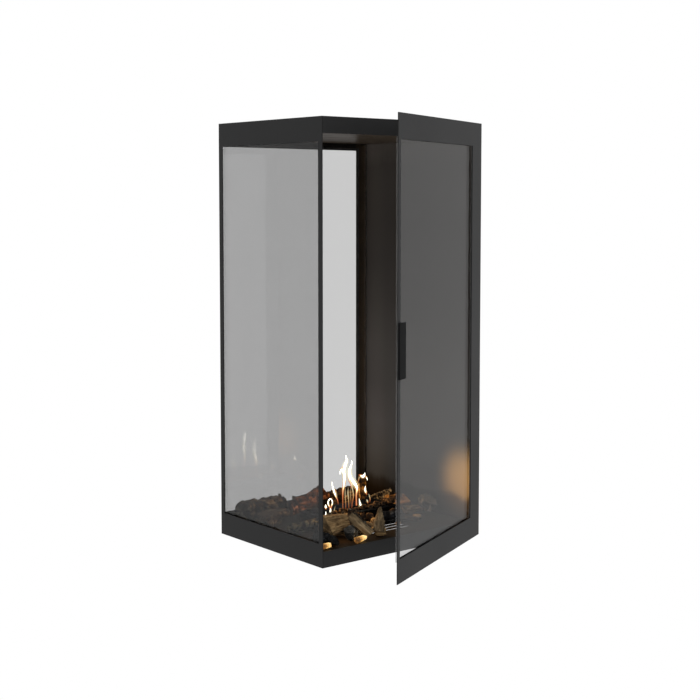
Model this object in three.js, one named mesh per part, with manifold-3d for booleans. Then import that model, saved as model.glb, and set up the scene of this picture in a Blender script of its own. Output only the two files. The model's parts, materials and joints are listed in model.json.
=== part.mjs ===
// A bioethanol fireplace that divides a room: a tall cabinet with glass on three sides and one closed
// wall side. The front glass is a full-height hinged door, shown ajar. Ceramic logs lie round the burner.
// Millimetres, +Z up. The origin is the middle of the cabinet's underside, -Y is the door side and
// +X is the wall side.

import * as THREE from "three";
import { mergeVertices } from "three/addons/utils/BufferGeometryUtils.js";
import Module from "manifold-3d";

const wasm = await Module();
wasm.setup();

// Cabinet
const cabinetWidth = 600;
const cabinetDepth = 500;
const cabinetHeight = 1240;
const baseHeight = 46;
const hoodHeight = 46;
const wallCavity = 30;
const postDepth = 28;

// Sheet metal, glass and clearances
const sheetThickness = 2;
const coverThickness = 2.5;
const glassThickness = 4;
const gasketThickness = 2.5;
const stopSize = 10;
const stopThickness = 1.5;
const stopEndGap = 30;
const fit = 0.3;
const overrun = 5;

// Cover frames over the glass edges
const bandHeight = 68;
const lowBandHeight = 65.5;
const wallStile = 70;
const cornerStile = 17.5;
const rearCornerStile = 11.5;
const glassLap = 8;
const sealWidth = 4;

// Door
const doorAjar = THREE.MathUtils.degToRad(24.5);
const doorGap = fit;
const hingeStile = 72;
const freeStile = 15;
const handleHeight = 150;
const handleWidth = 40;
const handleDepth = 5;
const handleBladeThickness = 2.2;
const handleBaseWidth = 14;
const handleLipDepth = 1.2;
const handleRound = 1;
const retainerThickness = 1.5;
const retainerLap = 6;
const retainerFoot = 8;
const retainerEndGap = 12;

// Hinges down the wall-side front corner
const hingeCount = 3;
const hingeLength = 70;
const hingeEndInset = 120;
const pinRadius = 1.5;
const pinHeadLip = 1.1;
const pinHeadHeight = 1.5;
const knuckleWall = 1.2;
const knuckleInset = 1;
const leafThickness = 1.5;
const leafClearance = 0.5;

// Hearth floor and its air slots
const floorSetdown = 4;
const slotCount = 3;
const slotLength = 190;
const slotWidth = 8;
const slotPitch = 24.5;
const slotRowsFront = 86;
const ventLength = 176;
const ventDepth = 220;
const ventWeb = 80;
const railWidth = 28;
const railInset = 20;

// Burner with its sliding snuffer
const burnerLength = 280;
const burnerDepth = 116;
const burnerHeight = 34;
const burnerCentreX = 0;
const burnerCentreY = 6;
const burnerWall = 1.5;
const troughLength = 220;
const troughWidth = 40;
const troughInset = 14;
const woolHeight = 20;
const woolOverlap = 3;
const burnerRim = 5;
const snufferMargin = 5;
const snufferThickness = 2;
const snufferTravel = 51;
const snufferRailWidth = 5;
const snufferRailHeight = 4;
const knobRadius = 6;
const knobHeight = 14;
const knobInset = 18;
const knobNeckShare = 0.55;
const knobNeckHeightShare = 0.4;
const knobEdgeShare = 0.14;

// Magnetic catches at the free edge of the door
const catchLength = 40;
const catchDepth = 6;
const catchHeight = 20;
const catchInset = 30;

// Ceramic logs, in the order in which they are laid. A row gives the finish, the middle of the log as
// shares of the cabinet's half width and half depth, its heading and pitch in degrees, its length and
// girth as shares of the common log, its taper, its split faces as an angle and a share of the
// radius, and the phase of its grain.
const logLength = 100;
const logRadius = 30;
const logSides = 18;
const logRings = 10;
const logDrop = 300;
const logShares = [
  ["log_rear_left", "bark", [-0.6, 0.8], -1, 0, 1.5, 0.92, -0.06, [], 0.4],
  ["log_rear_middle", "bark", [0.13, 0.66], -2, 0, 2.45, 0.78, -0.16, [], 1.9],
  ["log_left_middle", "bark", [-0.73, 0.4], 24, 0, 1.25, 0.84, 0.16, [[100, 0.6]], 3.1],
  ["log_left_pale", "bark", [-0.672, -0.1], 3, 0, 0.9, 0.62, 0.1, [[60, 0.5]], 4.2],
  ["log_stump", "bark", [-0.54, -0.54], 3, 0, 0.9, 1.08, 0.2, [[160, 0.62], [20, 0.7]], 5.3],
  ["log_front_char", "char", [-0.775, -0.71], -84, 0, 0.8, 0.62, 0.3, [], 0.9],
  ["log_middle_char", "char", [-0.44, -0.7], 30, 0, 0.5, 0.64, 0.2, [], 2.4],
  ["log_right_char", "char", [0.235, -0.39], -20, 0, 0.54, 0.66, 0.1, [], 3.7],
  ["log_glowing", "bark", [0.66, 0.03], 5, 0, 0.8, 0.87, 0.1, [[130, 0.6]], 1.2],
  ["log_right_rear", "bark", [0.8, 0.36], 80, 0, 0.56, 0.5, 0.1, [], 5.9],
  ["log_right_pale", "bark", [0.72, -0.2], -14, 0, 0.7, 0.5, 0.14, [[70, 0.55]], 4.8],
  ["log_right_end", "bark", [0.775, -0.37], 78, 0, 0.44, 0.76, 0.06, [], 2.9],
  ["log_right_chip", "bark", [0.432, -0.56], -50, 0, 0.5, 0.38, 0.3, [[80, 0.6]], 1.1],
  ["ember_left", "ember", [-0.885, -0.895], 10, 0, 0.3, 0.32, 0.3, [[90, 0.6]], 1.4],
  ["ember_middle", "ember", [-0.472, -0.885], 12, 0, 0.38, 0.36, 0.3, [[80, 0.6]], 3.3],
  ["log_left_red", "bark", [-0.235, 0.5], 4, 14, 1.36, 0.82, 0.1, [[250, 0.7]], 2.7],
  ["log_upright_char", "char", [0.435, 0.376], 60, 72, 1, 0.5, 0.2, [], 0.2],
  ["log_split", "bark", [-0.16, -0.78], 50, 78, 0.7, 0.62, 0.55, [[200, 0.5], [320, 0.55]], 2.2],
  ["log_diagonal", "bark", [-0.4, -0.79], -52, -40, 0.74, 0.5, 0.1, [[90, 0.7]], 4.0],
  ["log_bark_right", "bark", [0.635, 0.3], -14, 16, 0.72, 0.44, 0.14, [], 5.1],
];
const bendShare = 0.1;
// Waves of the bark round a log: a count, a share of the radius, and a drift along the log.
const grainShares = [[2, 0.09, 1], [3, 0.06, 2.3], [5, 0.04, -3.1], [7, 0.03, 4.7]];
const endSlantShare = 0.3;
const endDomeShare = 0.12;

const halfWidth = cabinetWidth / 2;
const halfDepth = cabinetDepth / 2;
const hoodBottom = cabinetHeight - hoodHeight;
// The end and rear covers are separate plates, so the cabinet body stands back behind them.
const bodyEnd = -halfWidth + coverThickness + fit;
const bodyRear = halfDepth - coverThickness - fit;
const glassSetback = coverThickness + fit + gasketThickness + fit;
const linerFace = halfWidth - wallCavity - sheetThickness;
const floorTop = baseHeight - floorSetdown;
const knuckleBore = pinRadius + fit;
const knuckleRadius = knuckleBore + knuckleWall;
// The groove in the wall-side front corner holds the hinge barrels and their leaves.
const grooveSize = knuckleInset + 2 * knuckleRadius + leafClearance + leafThickness;

const materials = {
  coat: new THREE.MeshStandardMaterial({ color: 0x2a2a2b, roughness: 0.55, metalness: 0.2 }),
  liner: new THREE.MeshStandardMaterial({ color: 0x241f1b, roughness: 0.4, metalness: 0.2 }),
  glass: new THREE.MeshStandardMaterial({
    color: 0xb8b8b8, roughness: 0.05, transparent: true, opacity: 0.35 }),
  seal: new THREE.MeshStandardMaterial({ color: 0x141414, roughness: 0.9 }),
  burner: new THREE.MeshStandardMaterial({ color: 0x232323, roughness: 0.6, metalness: 0.7 }),
  steel: new THREE.MeshStandardMaterial({ color: 0xb9bbbd, roughness: 0.35, metalness: 0.9 }),
  wool: new THREE.MeshStandardMaterial({ color: 0xe6e2d8, roughness: 0.95 }),
  bark: new THREE.MeshStandardMaterial({ color: 0x4a3a2c, roughness: 0.9 }),
  char: new THREE.MeshStandardMaterial({ color: 0x1d1e20, roughness: 0.85 }),
  ember: new THREE.MeshStandardMaterial({ color: 0xd9893a, roughness: 0.8 }),
};

// Solids

// A closed geometry as a solid that can be joined and cut.
function solidOf(geometry) {
  const flat = geometry.index ? geometry.toNonIndexed() : geometry;
  const bare = new THREE.BufferGeometry().setAttribute("position", flat.getAttribute("position"));
  const merged = mergeVertices(bare);
  const vertProperties = merged.attributes.position.array;
  const triVerts = new Uint32Array(merged.index.array);
  return new wasm.Manifold(new wasm.Mesh({ numProp: 3, vertProperties, triVerts }));
}

function geometryOf(solid) {
  const mesh = solid.getMesh();
  const geometry = new THREE.BufferGeometry();
  geometry.setAttribute("position", new THREE.BufferAttribute(mesh.vertProperties, 3));
  geometry.setIndex(new THREE.BufferAttribute(mesh.triVerts, 1));
  geometry.computeVertexNormals();
  return geometry;
}

function join(...pieces) {
  return pieces.reduce((all, piece) => all.add(piece));
}

function cut(body, ...tools) {
  return tools.reduce((left, tool) => left.subtract(tool), body);
}

// A block between two opposite corners.
function block([x0, y0, z0], [x1, y1, z1]) {
  const geometry = new THREE.BoxGeometry(x1 - x0, y1 - y0, z1 - z0);
  geometry.translate((x0 + x1) / 2, (y0 + y1) / 2, (z0 + z1) / 2);
  return solidOf(geometry);
}

function cylinder(radius, [x, y], z0, z1, sides = 24) {
  const geometry = new THREE.CylinderGeometry(radius, radius, z1 - z0, sides);
  geometry.rotateX(Math.PI / 2);
  geometry.translate(x, y, (z0 + z1) / 2);
  return solidOf(geometry);
}

function rectangle([u0, v0], [u1, v1]) {
  const shape = new THREE.Shape();
  shape.moveTo(u0, v0);
  shape.lineTo(u1, v0);
  shape.lineTo(u1, v1);
  shape.lineTo(u0, v1);
  shape.closePath();
  return shape;
}

// A flat sheet with windows. Its outline is drawn in the plane across the named axis, and the sheet
// fills the span from low to high along that axis.
function sheet(axis, outline, windows, low, high) {
  outline.holes = windows;
  const geometry = new THREE.ExtrudeGeometry(outline, { depth: high - low, bevelEnabled: false });
  const x = new THREE.Vector3(1, 0, 0);
  const y = new THREE.Vector3(0, 1, 0);
  const z = new THREE.Vector3(0, 0, 1);
  if (axis === "x") geometry.applyMatrix4(new THREE.Matrix4().makeBasis(y, z, x)).translate(low, 0, 0);
  if (axis === "y") {
    geometry.applyMatrix4(new THREE.Matrix4().makeBasis(x, z, y.negate())).translate(0, high, 0);
  }
  if (axis === "z") geometry.translate(0, 0, low);
  return solidOf(geometry);
}

// The three bodies: all that stands still, the snuffer on the burner, and the door.
const cabinet = new THREE.Group();
const snuffer = new THREE.Group();
const door = new THREE.Group();

function place(group, name, solid, material) {
  const mesh = new THREE.Mesh(geometryOf(solid), materials[material]);
  mesh.name = name;
  group.add(mesh);
  return solid;
}

// Base pan: a folded tray, open on top, with two large air inlets in its bottom. The hinge groove
// runs through its wall-side front corner.
const grooveEdgeX = halfWidth - grooveSize;
const grooveEdgeY = -halfDepth + grooveSize;
function grooveCut(z0, z1) {
  return block(
    [grooveEdgeX, -halfDepth - overrun, z0 - overrun],
    [halfWidth + overrun, grooveEdgeY, z1 + overrun]);
}
function grooveWall(z0, z1) {
  return cut(
    block(
      [grooveEdgeX - sheetThickness, -halfDepth, z0],
      [halfWidth, grooveEdgeY + sheetThickness, z1]),
    grooveCut(z0, z1));
}
function foldedTray(z0, z1, plateLow, plateHigh) {
  const outer = block([bodyEnd, -halfDepth, z0], [halfWidth, bodyRear, z1]);
  const inner = block(
    [bodyEnd + sheetThickness, -halfDepth + sheetThickness, z0 - overrun],
    [halfWidth - sheetThickness, bodyRear - sheetThickness, z1 + overrun]);
  const plate = block([bodyEnd, -halfDepth, plateLow], [halfWidth, bodyRear, plateHigh]);
  return cut(join(cut(outer, inner), plate, grooveWall(z0, z1)), grooveCut(z0, z1));
}
function ventCut(side) {
  const near = ventWeb / 2;
  const far = near + ventLength;
  return block(
    [side > 0 ? near : -far, -ventDepth / 2, -overrun],
    [side > 0 ? far : -near, ventDepth / 2, sheetThickness + overrun]);
}
const basePan = cut(foldedTray(0, baseHeight, 0, sheetThickness), ventCut(-1), ventCut(1));
place(cabinet, "base_pan", basePan, "coat");

// Support rails: hat-shaped cross rails that carry the hearth floor over the tray.
const innerEnd = bodyEnd + sheetThickness + fit;
const innerWall = halfWidth - sheetThickness - fit;
const innerFront = -halfDepth + sheetThickness + fit;
const innerRear = bodyRear - sheetThickness - fit;
const floorBottom = floorTop - sheetThickness;
const railFront = grooveEdgeY + sheetThickness + fit;
const railFlange = railWidth / 2;
function supportRail(centre) {
  const half = railWidth / 2;
  const low = sheetThickness + fit;
  const high = floorBottom - fit;
  const profile = new THREE.Shape();
  profile.moveTo(centre - half - railFlange, low);
  profile.lineTo(centre - half + sheetThickness, low);
  profile.lineTo(centre - half + sheetThickness, high - sheetThickness);
  profile.lineTo(centre + half - sheetThickness, high - sheetThickness);
  profile.lineTo(centre + half - sheetThickness, low);
  profile.lineTo(centre + half + railFlange, low);
  profile.lineTo(centre + half + railFlange, low + sheetThickness);
  profile.lineTo(centre + half, low + sheetThickness);
  profile.lineTo(centre + half, high);
  profile.lineTo(centre - half, high);
  profile.lineTo(centre - half, low + sheetThickness);
  profile.lineTo(centre - half - railFlange, low + sheetThickness);
  profile.closePath();
  return sheet("y", profile, [], railFront, innerRear);
}
place(cabinet, "support_rail_left", supportRail(innerEnd + railInset + railWidth), "coat");
place(cabinet, "support_rail_right", supportRail(innerWall - railInset - railWidth), "coat");

// Hearth floor: a flat plate let into the tray, with a row of air slots in front of the burner.
function slotWindow(row) {
  const middle = innerFront + slotRowsFront + row * slotPitch;
  const half = slotLength / 2;
  return rectangle([-half, middle - slotWidth / 2], [half, middle + slotWidth / 2]);
}
const slotWindows = Array.from({ length: slotCount }, (_, row) => slotWindow(row));
const cornerClear = sheetThickness + fit;
const hearth = sheet(
  "z", rectangle([innerEnd, innerFront], [innerWall, innerRear]), slotWindows, floorBottom, floorTop);
const hearthCorner = block(
  [grooveEdgeX - cornerClear, innerFront - overrun, floorBottom - overrun],
  [innerWall + overrun, grooveEdgeY + cornerClear, floorTop + overrun]);
place(cabinet, "hearth_floor", cut(hearth, hearthCorner), "liner");

// Hood: the same folded tray, closed on top, with the ceiling plate let into its open side.
place(cabinet, "hood_shell",
  foldedTray(hoodBottom, cabinetHeight, cabinetHeight - sheetThickness, cabinetHeight), "coat");
const ceilingTop = hoodBottom + sheetThickness;
const ceiling = block([innerEnd, innerFront, hoodBottom], [innerWall, innerRear, ceilingTop]);
const ceilingCorner = block(
  [grooveEdgeX - cornerClear, innerFront - overrun, hoodBottom - overrun],
  [innerWall + overrun, grooveEdgeY + cornerClear, ceilingTop + overrun]);
place(cabinet, "ceiling_plate", cut(ceiling, ceilingCorner), "liner");

// Wall side: an outer casing and an inner liner, held apart by two tube posts.
const wallLow = baseHeight + fit;
const wallHigh = hoodBottom - fit;
const casingInner = halfWidth - sheetThickness;
const flangeEnd = grooveEdgeX;
const casingFront = grooveEdgeY + fit;
const casingOutline = new THREE.Shape();
casingOutline.moveTo(halfWidth, casingFront);
casingOutline.lineTo(halfWidth, bodyRear);
casingOutline.lineTo(flangeEnd, bodyRear);
casingOutline.lineTo(flangeEnd, bodyRear - sheetThickness);
casingOutline.lineTo(casingInner, bodyRear - sheetThickness);
casingOutline.lineTo(casingInner, casingFront + sheetThickness);
casingOutline.lineTo(flangeEnd, casingFront + sheetThickness);
casingOutline.lineTo(flangeEnd, casingFront);
casingOutline.closePath();
place(cabinet, "wall_casing", sheet("z", casingOutline, [], wallLow, wallHigh), "coat");

const linerBack = linerFace + sheetThickness;
place(cabinet, "wall_liner",
  block([linerFace, innerFront, floorTop + fit], [linerBack, innerRear, wallHigh]), "liner");

function tubePost(y0, y1) {
  const outer = rectangle([linerBack + fit, y0], [grooveEdgeX - fit, y1]);
  const bore = rectangle(
    [linerBack + fit + sheetThickness, y0 + sheetThickness],
    [grooveEdgeX - fit - sheetThickness, y1 - sheetThickness]);
  return sheet("z", outer, [bore], wallLow, wallHigh);
}
// The front post has a flange that covers the liner's front edge.
const frontFlange = block(
  [linerFace, -halfDepth, wallLow], [grooveEdgeX - fit, -halfDepth + sheetThickness, wallHigh]);
place(cabinet, "hinge_post", join(tubePost(-halfDepth, -halfDepth + postDepth), frontFlange), "coat");
place(cabinet, "rear_post", tubePost(bodyRear - postDepth, bodyRear), "coat");

// Fixed glass: the end pane and the rear pane stand on the hearth floor, under the ceiling, and meet
// edge to face at the corner.
const glassLow = floorTop + fit;
const glassHigh = hoodBottom - fit;
const endGlassOuter = -halfWidth + glassSetback;
const endGlassInner = endGlassOuter + glassThickness;
const rearGlassOuter = halfDepth - glassSetback;
const rearGlassInner = rearGlassOuter - glassThickness;
const linerSide = linerFace - fit;
const endGlassFront = -halfDepth + cornerStile - glassLap;
place(cabinet, "end_glass", block(
  [endGlassOuter, endGlassFront, glassLow],
  [endGlassInner, rearGlassInner - fit, glassHigh]), "glass");
place(cabinet, "rear_glass", block(
  [endGlassOuter, rearGlassInner, glassLow], [linerSide, rearGlassOuter, glassHigh]), "glass");

// Cover frames: plates that lap over the edges of the fixed glass.
const windowLow = lowBandHeight;
const windowHigh = cabinetHeight - bandHeight;
const endCoverRear = halfDepth - coverThickness - fit;
const endStileRear = halfDepth - cornerStile;
place(cabinet, "end_cover_frame", sheet("x",
  rectangle([-halfDepth, 0], [endCoverRear, cabinetHeight]),
  [rectangle([-halfDepth + cornerStile, windowLow], [endStileRear, windowHigh])],
  -halfWidth, -halfWidth + coverThickness), "coat");
const rearStileWall = halfWidth - wallStile;
place(cabinet, "rear_cover_frame", sheet("y",
  rectangle([-halfWidth, 0], [halfWidth, cabinetHeight]),
  [rectangle([-halfWidth + rearCornerStile, windowLow], [rearStileWall, windowHigh])],
  halfDepth - coverThickness, halfDepth), "coat");

// Gaskets: flat rope seals between the covers and the edges of the glass, out of sight from inside.
const sealGap = coverThickness + fit;
const sealLow = windowLow - glassLap;
const sealHigh = windowHigh + glassLap;
const endSealRear = rearGlassInner - fit;
place(cabinet, "end_gasket", sheet("x",
  rectangle([endGlassFront, sealLow], [endSealRear, sealHigh]),
  [rectangle(
    [endGlassFront + sealWidth, sealLow + sealWidth], [endSealRear - sealWidth, sealHigh - sealWidth])],
  -halfWidth + sealGap, -halfWidth + sealGap + gasketThickness), "seal");
const rearSealWall = rearStileWall + glassLap;
place(cabinet, "rear_gasket", sheet("y",
  rectangle([endGlassOuter, sealLow], [rearSealWall, sealHigh]),
  [rectangle(
    [endGlassOuter + sealWidth, sealLow + sealWidth], [rearSealWall - sealWidth, sealHigh - sealWidth])],
  halfDepth - sealGap - gasketThickness, halfDepth - sealGap), "seal");

// Glass stops: small angles screwed to the hearth floor, which keep the panes against their seals.
function angleAlongY(x, y0, y1) {
  return join(
    block([x, y0, floorTop + fit], [x + stopSize, y1, floorTop + fit + stopThickness]),
    block([x, y0, floorTop + fit], [x + stopThickness, y1, floorTop + fit + stopSize]));
}
function angleAlongX(y, x0, x1) {
  return join(
    block([x0, y - stopSize, floorTop + fit], [x1, y, floorTop + fit + stopThickness]),
    block([x0, y - stopThickness, floorTop + fit], [x1, y, floorTop + fit + stopSize]));
}
const endStop = angleAlongY(
  endGlassInner + fit, -halfDepth + stopEndGap, rearGlassInner - stopEndGap);
const rearStop = angleAlongX(
  rearGlassInner - fit, endGlassInner + stopEndGap, linerFace - stopEndGap);
place(cabinet, "end_glass_stop", endStop, "coat");
place(cabinet, "rear_glass_stop", rearStop, "coat");

// Hinges: barrels of three knuckles in the groove. The outer two are welded to a leaf on the hinge
// post, the middle one carries the door, and a headed pin runs through all three.
const hingeX = halfWidth - knuckleInset - knuckleRadius;
const hingeY = -halfDepth + knuckleRadius;
const hingeAxis = [hingeX, hingeY];
const knuckleLength = (hingeLength - 2 * fit) / hingeCount;
const hingeSpan = cabinetHeight - 2 * hingeEndInset - hingeLength;
function hingeBottom(index) {
  return hingeEndInset + (index * hingeSpan) / (hingeCount - 1);
}
const hingePlaces = ["bottom", "middle", "top"];
const pinHoleCut = (z0, z1) => cylinder(knuckleBore, hingeAxis, z0 - overrun, z1 + overrun);
hingePlaces.forEach((level, index) => {
  const low = hingeBottom(index);
  const high = low + hingeLength;
  const upper = high - knuckleLength;
  const leafFront = hingeY - knuckleRadius;
  const leafX = grooveEdgeX + leafThickness;
  const leaf = block([grooveEdgeX, leafFront, low], [leafX, grooveEdgeY - fit, high]);
  const arm = (z0, z1) => block([grooveEdgeX, hingeY, z0], [hingeX, hingeY + knuckleRadius, z1]);
  const bodyHalf = join(
    leaf,
    arm(low, low + knuckleLength),
    cylinder(knuckleRadius, hingeAxis, low, low + knuckleLength),
    arm(upper, high),
    cylinder(knuckleRadius, hingeAxis, upper, high));
  place(cabinet, "hinge_leaf_" + level, cut(bodyHalf, pinHoleCut(low, high)), "coat");
  const pin = join(
    cylinder(pinRadius, hingeAxis, low, high + fit),
    cylinder(pinRadius + pinHeadLip, hingeAxis, high + fit, high + fit + pinHeadHeight));
  place(cabinet, "hinge_pin_" + level, pin, "steel");
});

// Magnetic catches: magnets glued behind the front folds of hood and base, near the open corner. They
// draw the steel door frame shut through the sheet.
const catchLeft = endGlassInner + catchInset;
function doorCatch(middle) {
  return block(
    [catchLeft, innerFront, middle - catchHeight / 2],
    [catchLeft + catchLength, innerFront + catchDepth, middle + catchHeight / 2]);
}
place(cabinet, "catch_bottom", doorCatch(baseHeight / 2), "seal");
place(cabinet, "catch_top", doorCatch(cabinetHeight - hoodHeight / 2), "seal");

// Burner: an open tank with a ceramic wool filling. Its top plate has the flame trough, and the two
// guides between which the snuffer plate slides.
const burnerLow = floorTop + fit;
const tankHigh = burnerLow + burnerHeight;
const burnerLeft = burnerCentreX - burnerLength / 2;
const burnerRight = burnerCentreX + burnerLength / 2;
const burnerFront = burnerCentreY - burnerDepth / 2;
const burnerRear = burnerCentreY + burnerDepth / 2;
const tank = cut(
  block([burnerLeft, burnerFront, burnerLow], [burnerRight, burnerRear, tankHigh]),
  block(
    [burnerLeft + burnerWall, burnerFront + burnerWall, burnerLow + burnerWall],
    [burnerRight - burnerWall, burnerRear - burnerWall, tankHigh + overrun]));
place(cabinet, "burner_tank", tank, "burner");

const troughLeft = burnerCentreX - troughLength / 2;
const troughRight = burnerCentreX + troughLength / 2;
const troughFront = burnerFront + troughInset;
const troughRear = troughFront + troughWidth;
const lidLow = tankHigh + fit;
const lidHigh = lidLow + burnerWall;
const snufferLeft = troughLeft - snufferMargin;
const snufferRight = troughRight + snufferMargin;
const snufferFront = troughFront - snufferMargin + snufferTravel;
const snufferRear = snufferFront + troughWidth + 2 * snufferMargin;
const topSheet = sheet("z",
  rectangle(
    [burnerLeft - burnerRim, burnerFront - burnerRim],
    [burnerRight + burnerRim, burnerRear + burnerRim]),
  [rectangle([troughLeft, troughFront], [troughRight, troughRear])], lidLow, lidHigh);
function snufferGuide(x0, x1) {
  return block([x0, troughFront - snufferMargin, lidLow], [x1, snufferRear, lidHigh + snufferRailHeight]);
}
const topPlate = join(
  topSheet,
  snufferGuide(snufferLeft - fit - snufferRailWidth, snufferLeft - fit),
  snufferGuide(snufferRight + fit, snufferRight + fit + snufferRailWidth));
place(cabinet, "burner_top_plate", topPlate, "burner");

place(cabinet, "ceramic_wool", block(
  [troughLeft - woolOverlap, troughFront - woolOverlap, burnerLow + burnerWall + fit],
  [troughRight + woolOverlap, troughRear + woolOverlap, burnerLow + burnerWall + fit + woolHeight]), "wool");

// Snuffer: a plate that slides forward over the trough between two guides, with a knob on top.
const snufferLow = lidHigh + fit;
const snufferHigh = snufferLow + snufferThickness;
const snufferPlate = block(
  [snufferLeft, snufferFront, snufferLow], [snufferRight, snufferRear, snufferHigh]);
place(snuffer, "snuffer_plate", snufferPlate, "burner");
const knobProfile = [
  [0, 0],
  [knobRadius * knobNeckShare, 0],
  [knobRadius * knobNeckShare, knobHeight * knobNeckHeightShare],
  [knobRadius, knobHeight * (1 - knobNeckHeightShare)],
  [knobRadius, knobHeight * (1 - knobEdgeShare)],
  [knobRadius * (1 - knobEdgeShare), knobHeight],
  [0, knobHeight],
].map(([r, h]) => new THREE.Vector2(r, h));
const knobGeometry = new THREE.LatheGeometry(knobProfile, 24);
knobGeometry.rotateX(Math.PI / 2);
knobGeometry.translate(
  snufferRight - knobInset, (snufferFront + snufferRear) / 2, snufferHigh + fit);
place(snuffer, "snuffer_knob", solidOf(knobGeometry), "steel");

// Ceramic logs: each is cast in one piece, with bark round a tapered, bent body, split faces and
// broken, slanted ends. They lie on the hearth floor, the burner's edge and each other.

// The radius at a share of the length and an angle round it: a taper, waves for the grain, and each
// split face as a straight chord across the round.
function logRadiusAt(radius, along, angle, taperShare, splits, phase) {
  const wave = grainShares.reduce((sum, [count, share, drift]) =>
    sum + share * Math.sin(count * angle + drift * along + count * phase), 1);
  const round = radius * (1 - taperShare * along) * wave;
  return splits.reduce((least, [degrees, share]) => {
    const facing = Math.cos(angle - THREE.MathUtils.degToRad(degrees));
    return facing > share / 2 ? Math.min(least, (radius * share) / facing) : least;
  }, round);
}

function logGeometry(heading, pitch, lengthShare, girthShare, taperShare, splits, phase) {
  const length = logLength * lengthShare;
  const radius = logRadius * girthShare;
  const positions = [];
  const faces = [];
  const ring = (index, side) => index * logSides + (side % logSides);
  const bendAt = (along) => radius * bendShare * Math.sin(Math.PI * along + phase);
  for (let index = 0; index < logRings; index += 1) {
    const along = index / (logRings - 1);
    const slant = endSlantShare * radius * (2 * along - 1) ** 5;
    for (let side = 0; side < logSides; side += 1) {
      const angle = (2 * Math.PI * side) / logSides;
      const r = logRadiusAt(radius, along, angle, taperShare, splits, phase);
      positions.push(
        length * (along - 1 / 2) + slant * Math.cos(angle + phase),
        r * Math.cos(angle) + bendAt(along),
        r * Math.sin(angle));
      if (index === 0) continue;
      faces.push(ring(index - 1, side), ring(index - 1, side + 1), ring(index, side));
      faces.push(ring(index - 1, side + 1), ring(index, side + 1), ring(index, side));
    }
  }
  // Each end closes on one raised point, the first before the log and the second past it.
  const reach = length / 2 + radius * endDomeShare;
  const nearCap = logRings * logSides;
  const farCap = nearCap + 1;
  positions.push(-reach, bendAt(0), 0, reach, bendAt(1), 0);
  for (let side = 0; side < logSides; side += 1) {
    faces.push(nearCap, ring(0, side + 1), ring(0, side));
    faces.push(farCap, ring(logRings - 1, side), ring(logRings - 1, side + 1));
  }
  const geometry = new THREE.BufferGeometry();
  geometry.setAttribute("position", new THREE.Float32BufferAttribute(positions, 3));
  geometry.setIndex(faces);
  geometry.rotateY(-THREE.MathUtils.degToRad(pitch));
  geometry.rotateZ(THREE.MathUtils.degToRad(heading));
  return geometry;
}

// A log is let down from above until it rests on the floor, the burner or the logs under it.
const settleSteps = 15;
const overlapSpeck = 1e-3;
let pile = join(
  block([-halfWidth, -halfDepth, 0], [halfWidth, halfDepth, floorTop]),
  tank, topPlate, snufferPlate, endStop, rearStop);
function settle(geometry) {
  geometry.computeBoundingBox();
  let blocked = floorTop - geometry.boundingBox.min.z - overrun;
  let clear = blocked + logDrop;
  for (let step = 0; step < settleSteps; step += 1) {
    const middle = (clear + blocked) / 2;
    const trial = solidOf(geometry.clone().translate(0, 0, middle));
    if (trial.intersect(pile).volume() > overlapSpeck) blocked = middle;
    else clear = middle;
  }
  return solidOf(geometry.translate(0, 0, clear + fit));
}
for (const [name, finish, [xShare, yShare], ...form] of logShares) {
  const geometry = logGeometry(...form).translate(xShare * halfWidth, yShare * halfDepth, 0);
  const log = settle(geometry);
  pile = join(pile, log);
  place(cabinet, name, log, finish);
}

// Door: drawn closed in front of the cabinet, then swung open on the hinge axis.
const doorOuter = -halfDepth - doorGap - coverThickness;
const doorInner = -halfDepth - doorGap;
const doorWindowLeft = -halfWidth + freeStile;
const doorWindowRight = halfWidth - hingeStile;
place(door, "door_frame", sheet("y",
  rectangle([-halfWidth, 0], [halfWidth, cabinetHeight]),
  [rectangle([doorWindowLeft, windowLow], [doorWindowRight, windowHigh])],
  doorOuter, doorInner), "coat");
const doorGlassOuter = doorOuter + glassSetback;
const doorGlassLeft = doorWindowLeft - glassLap + fit;
const doorGlassRight = doorWindowRight + glassLap;
place(door, "door_glass", block(
  [doorGlassLeft, doorGlassOuter, sealLow],
  [doorGlassRight, doorGlassOuter + glassThickness, sealHigh]), "glass");
place(door, "door_gasket", sheet("y",
  rectangle([doorGlassLeft, sealLow], [doorGlassRight, sealHigh]),
  [rectangle(
    [doorGlassLeft + sealWidth, sealLow + sealWidth], [doorGlassRight - sealWidth, sealHigh - sealWidth])],
  doorInner + fit, doorInner + fit + gasketThickness), "seal");

// Retainers: angles along the top and bottom edges of the door glass, screwed to the frame plate.
const doorGlassInner = doorGlassOuter + glassThickness;
function retainer(edge, outward) {
  const seat = edge + outward * fit;
  const wall = seat + outward * retainerThickness;
  const lap = edge - outward * retainerLap;
  const foot = edge + outward * retainerFoot;
  const span = (a, b) => [Math.min(a, b), Math.max(a, b)];
  const [wallLowZ, wallHighZ] = span(seat, wall);
  const [lapLowZ, lapHighZ] = span(wall, lap);
  const [footLowZ, footHighZ] = span(seat, foot);
  const left = doorGlassLeft + retainerEndGap;
  const right = doorGlassRight - retainerEndGap;
  const back = doorGlassInner + fit + retainerThickness;
  const plate = doorInner + fit;
  return join(
    block([left, plate, wallLowZ], [right, back, wallHighZ]),
    block([left, doorGlassInner + fit, lapLowZ], [right, back, lapHighZ]),
    block([left, plate, footLowZ], [right, plate + retainerThickness, footHighZ]));
}
place(door, "door_retainer_bottom", retainer(sealLow, -1), "coat");
place(door, "door_retainer_top", retainer(sealHigh, 1), "coat");

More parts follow.
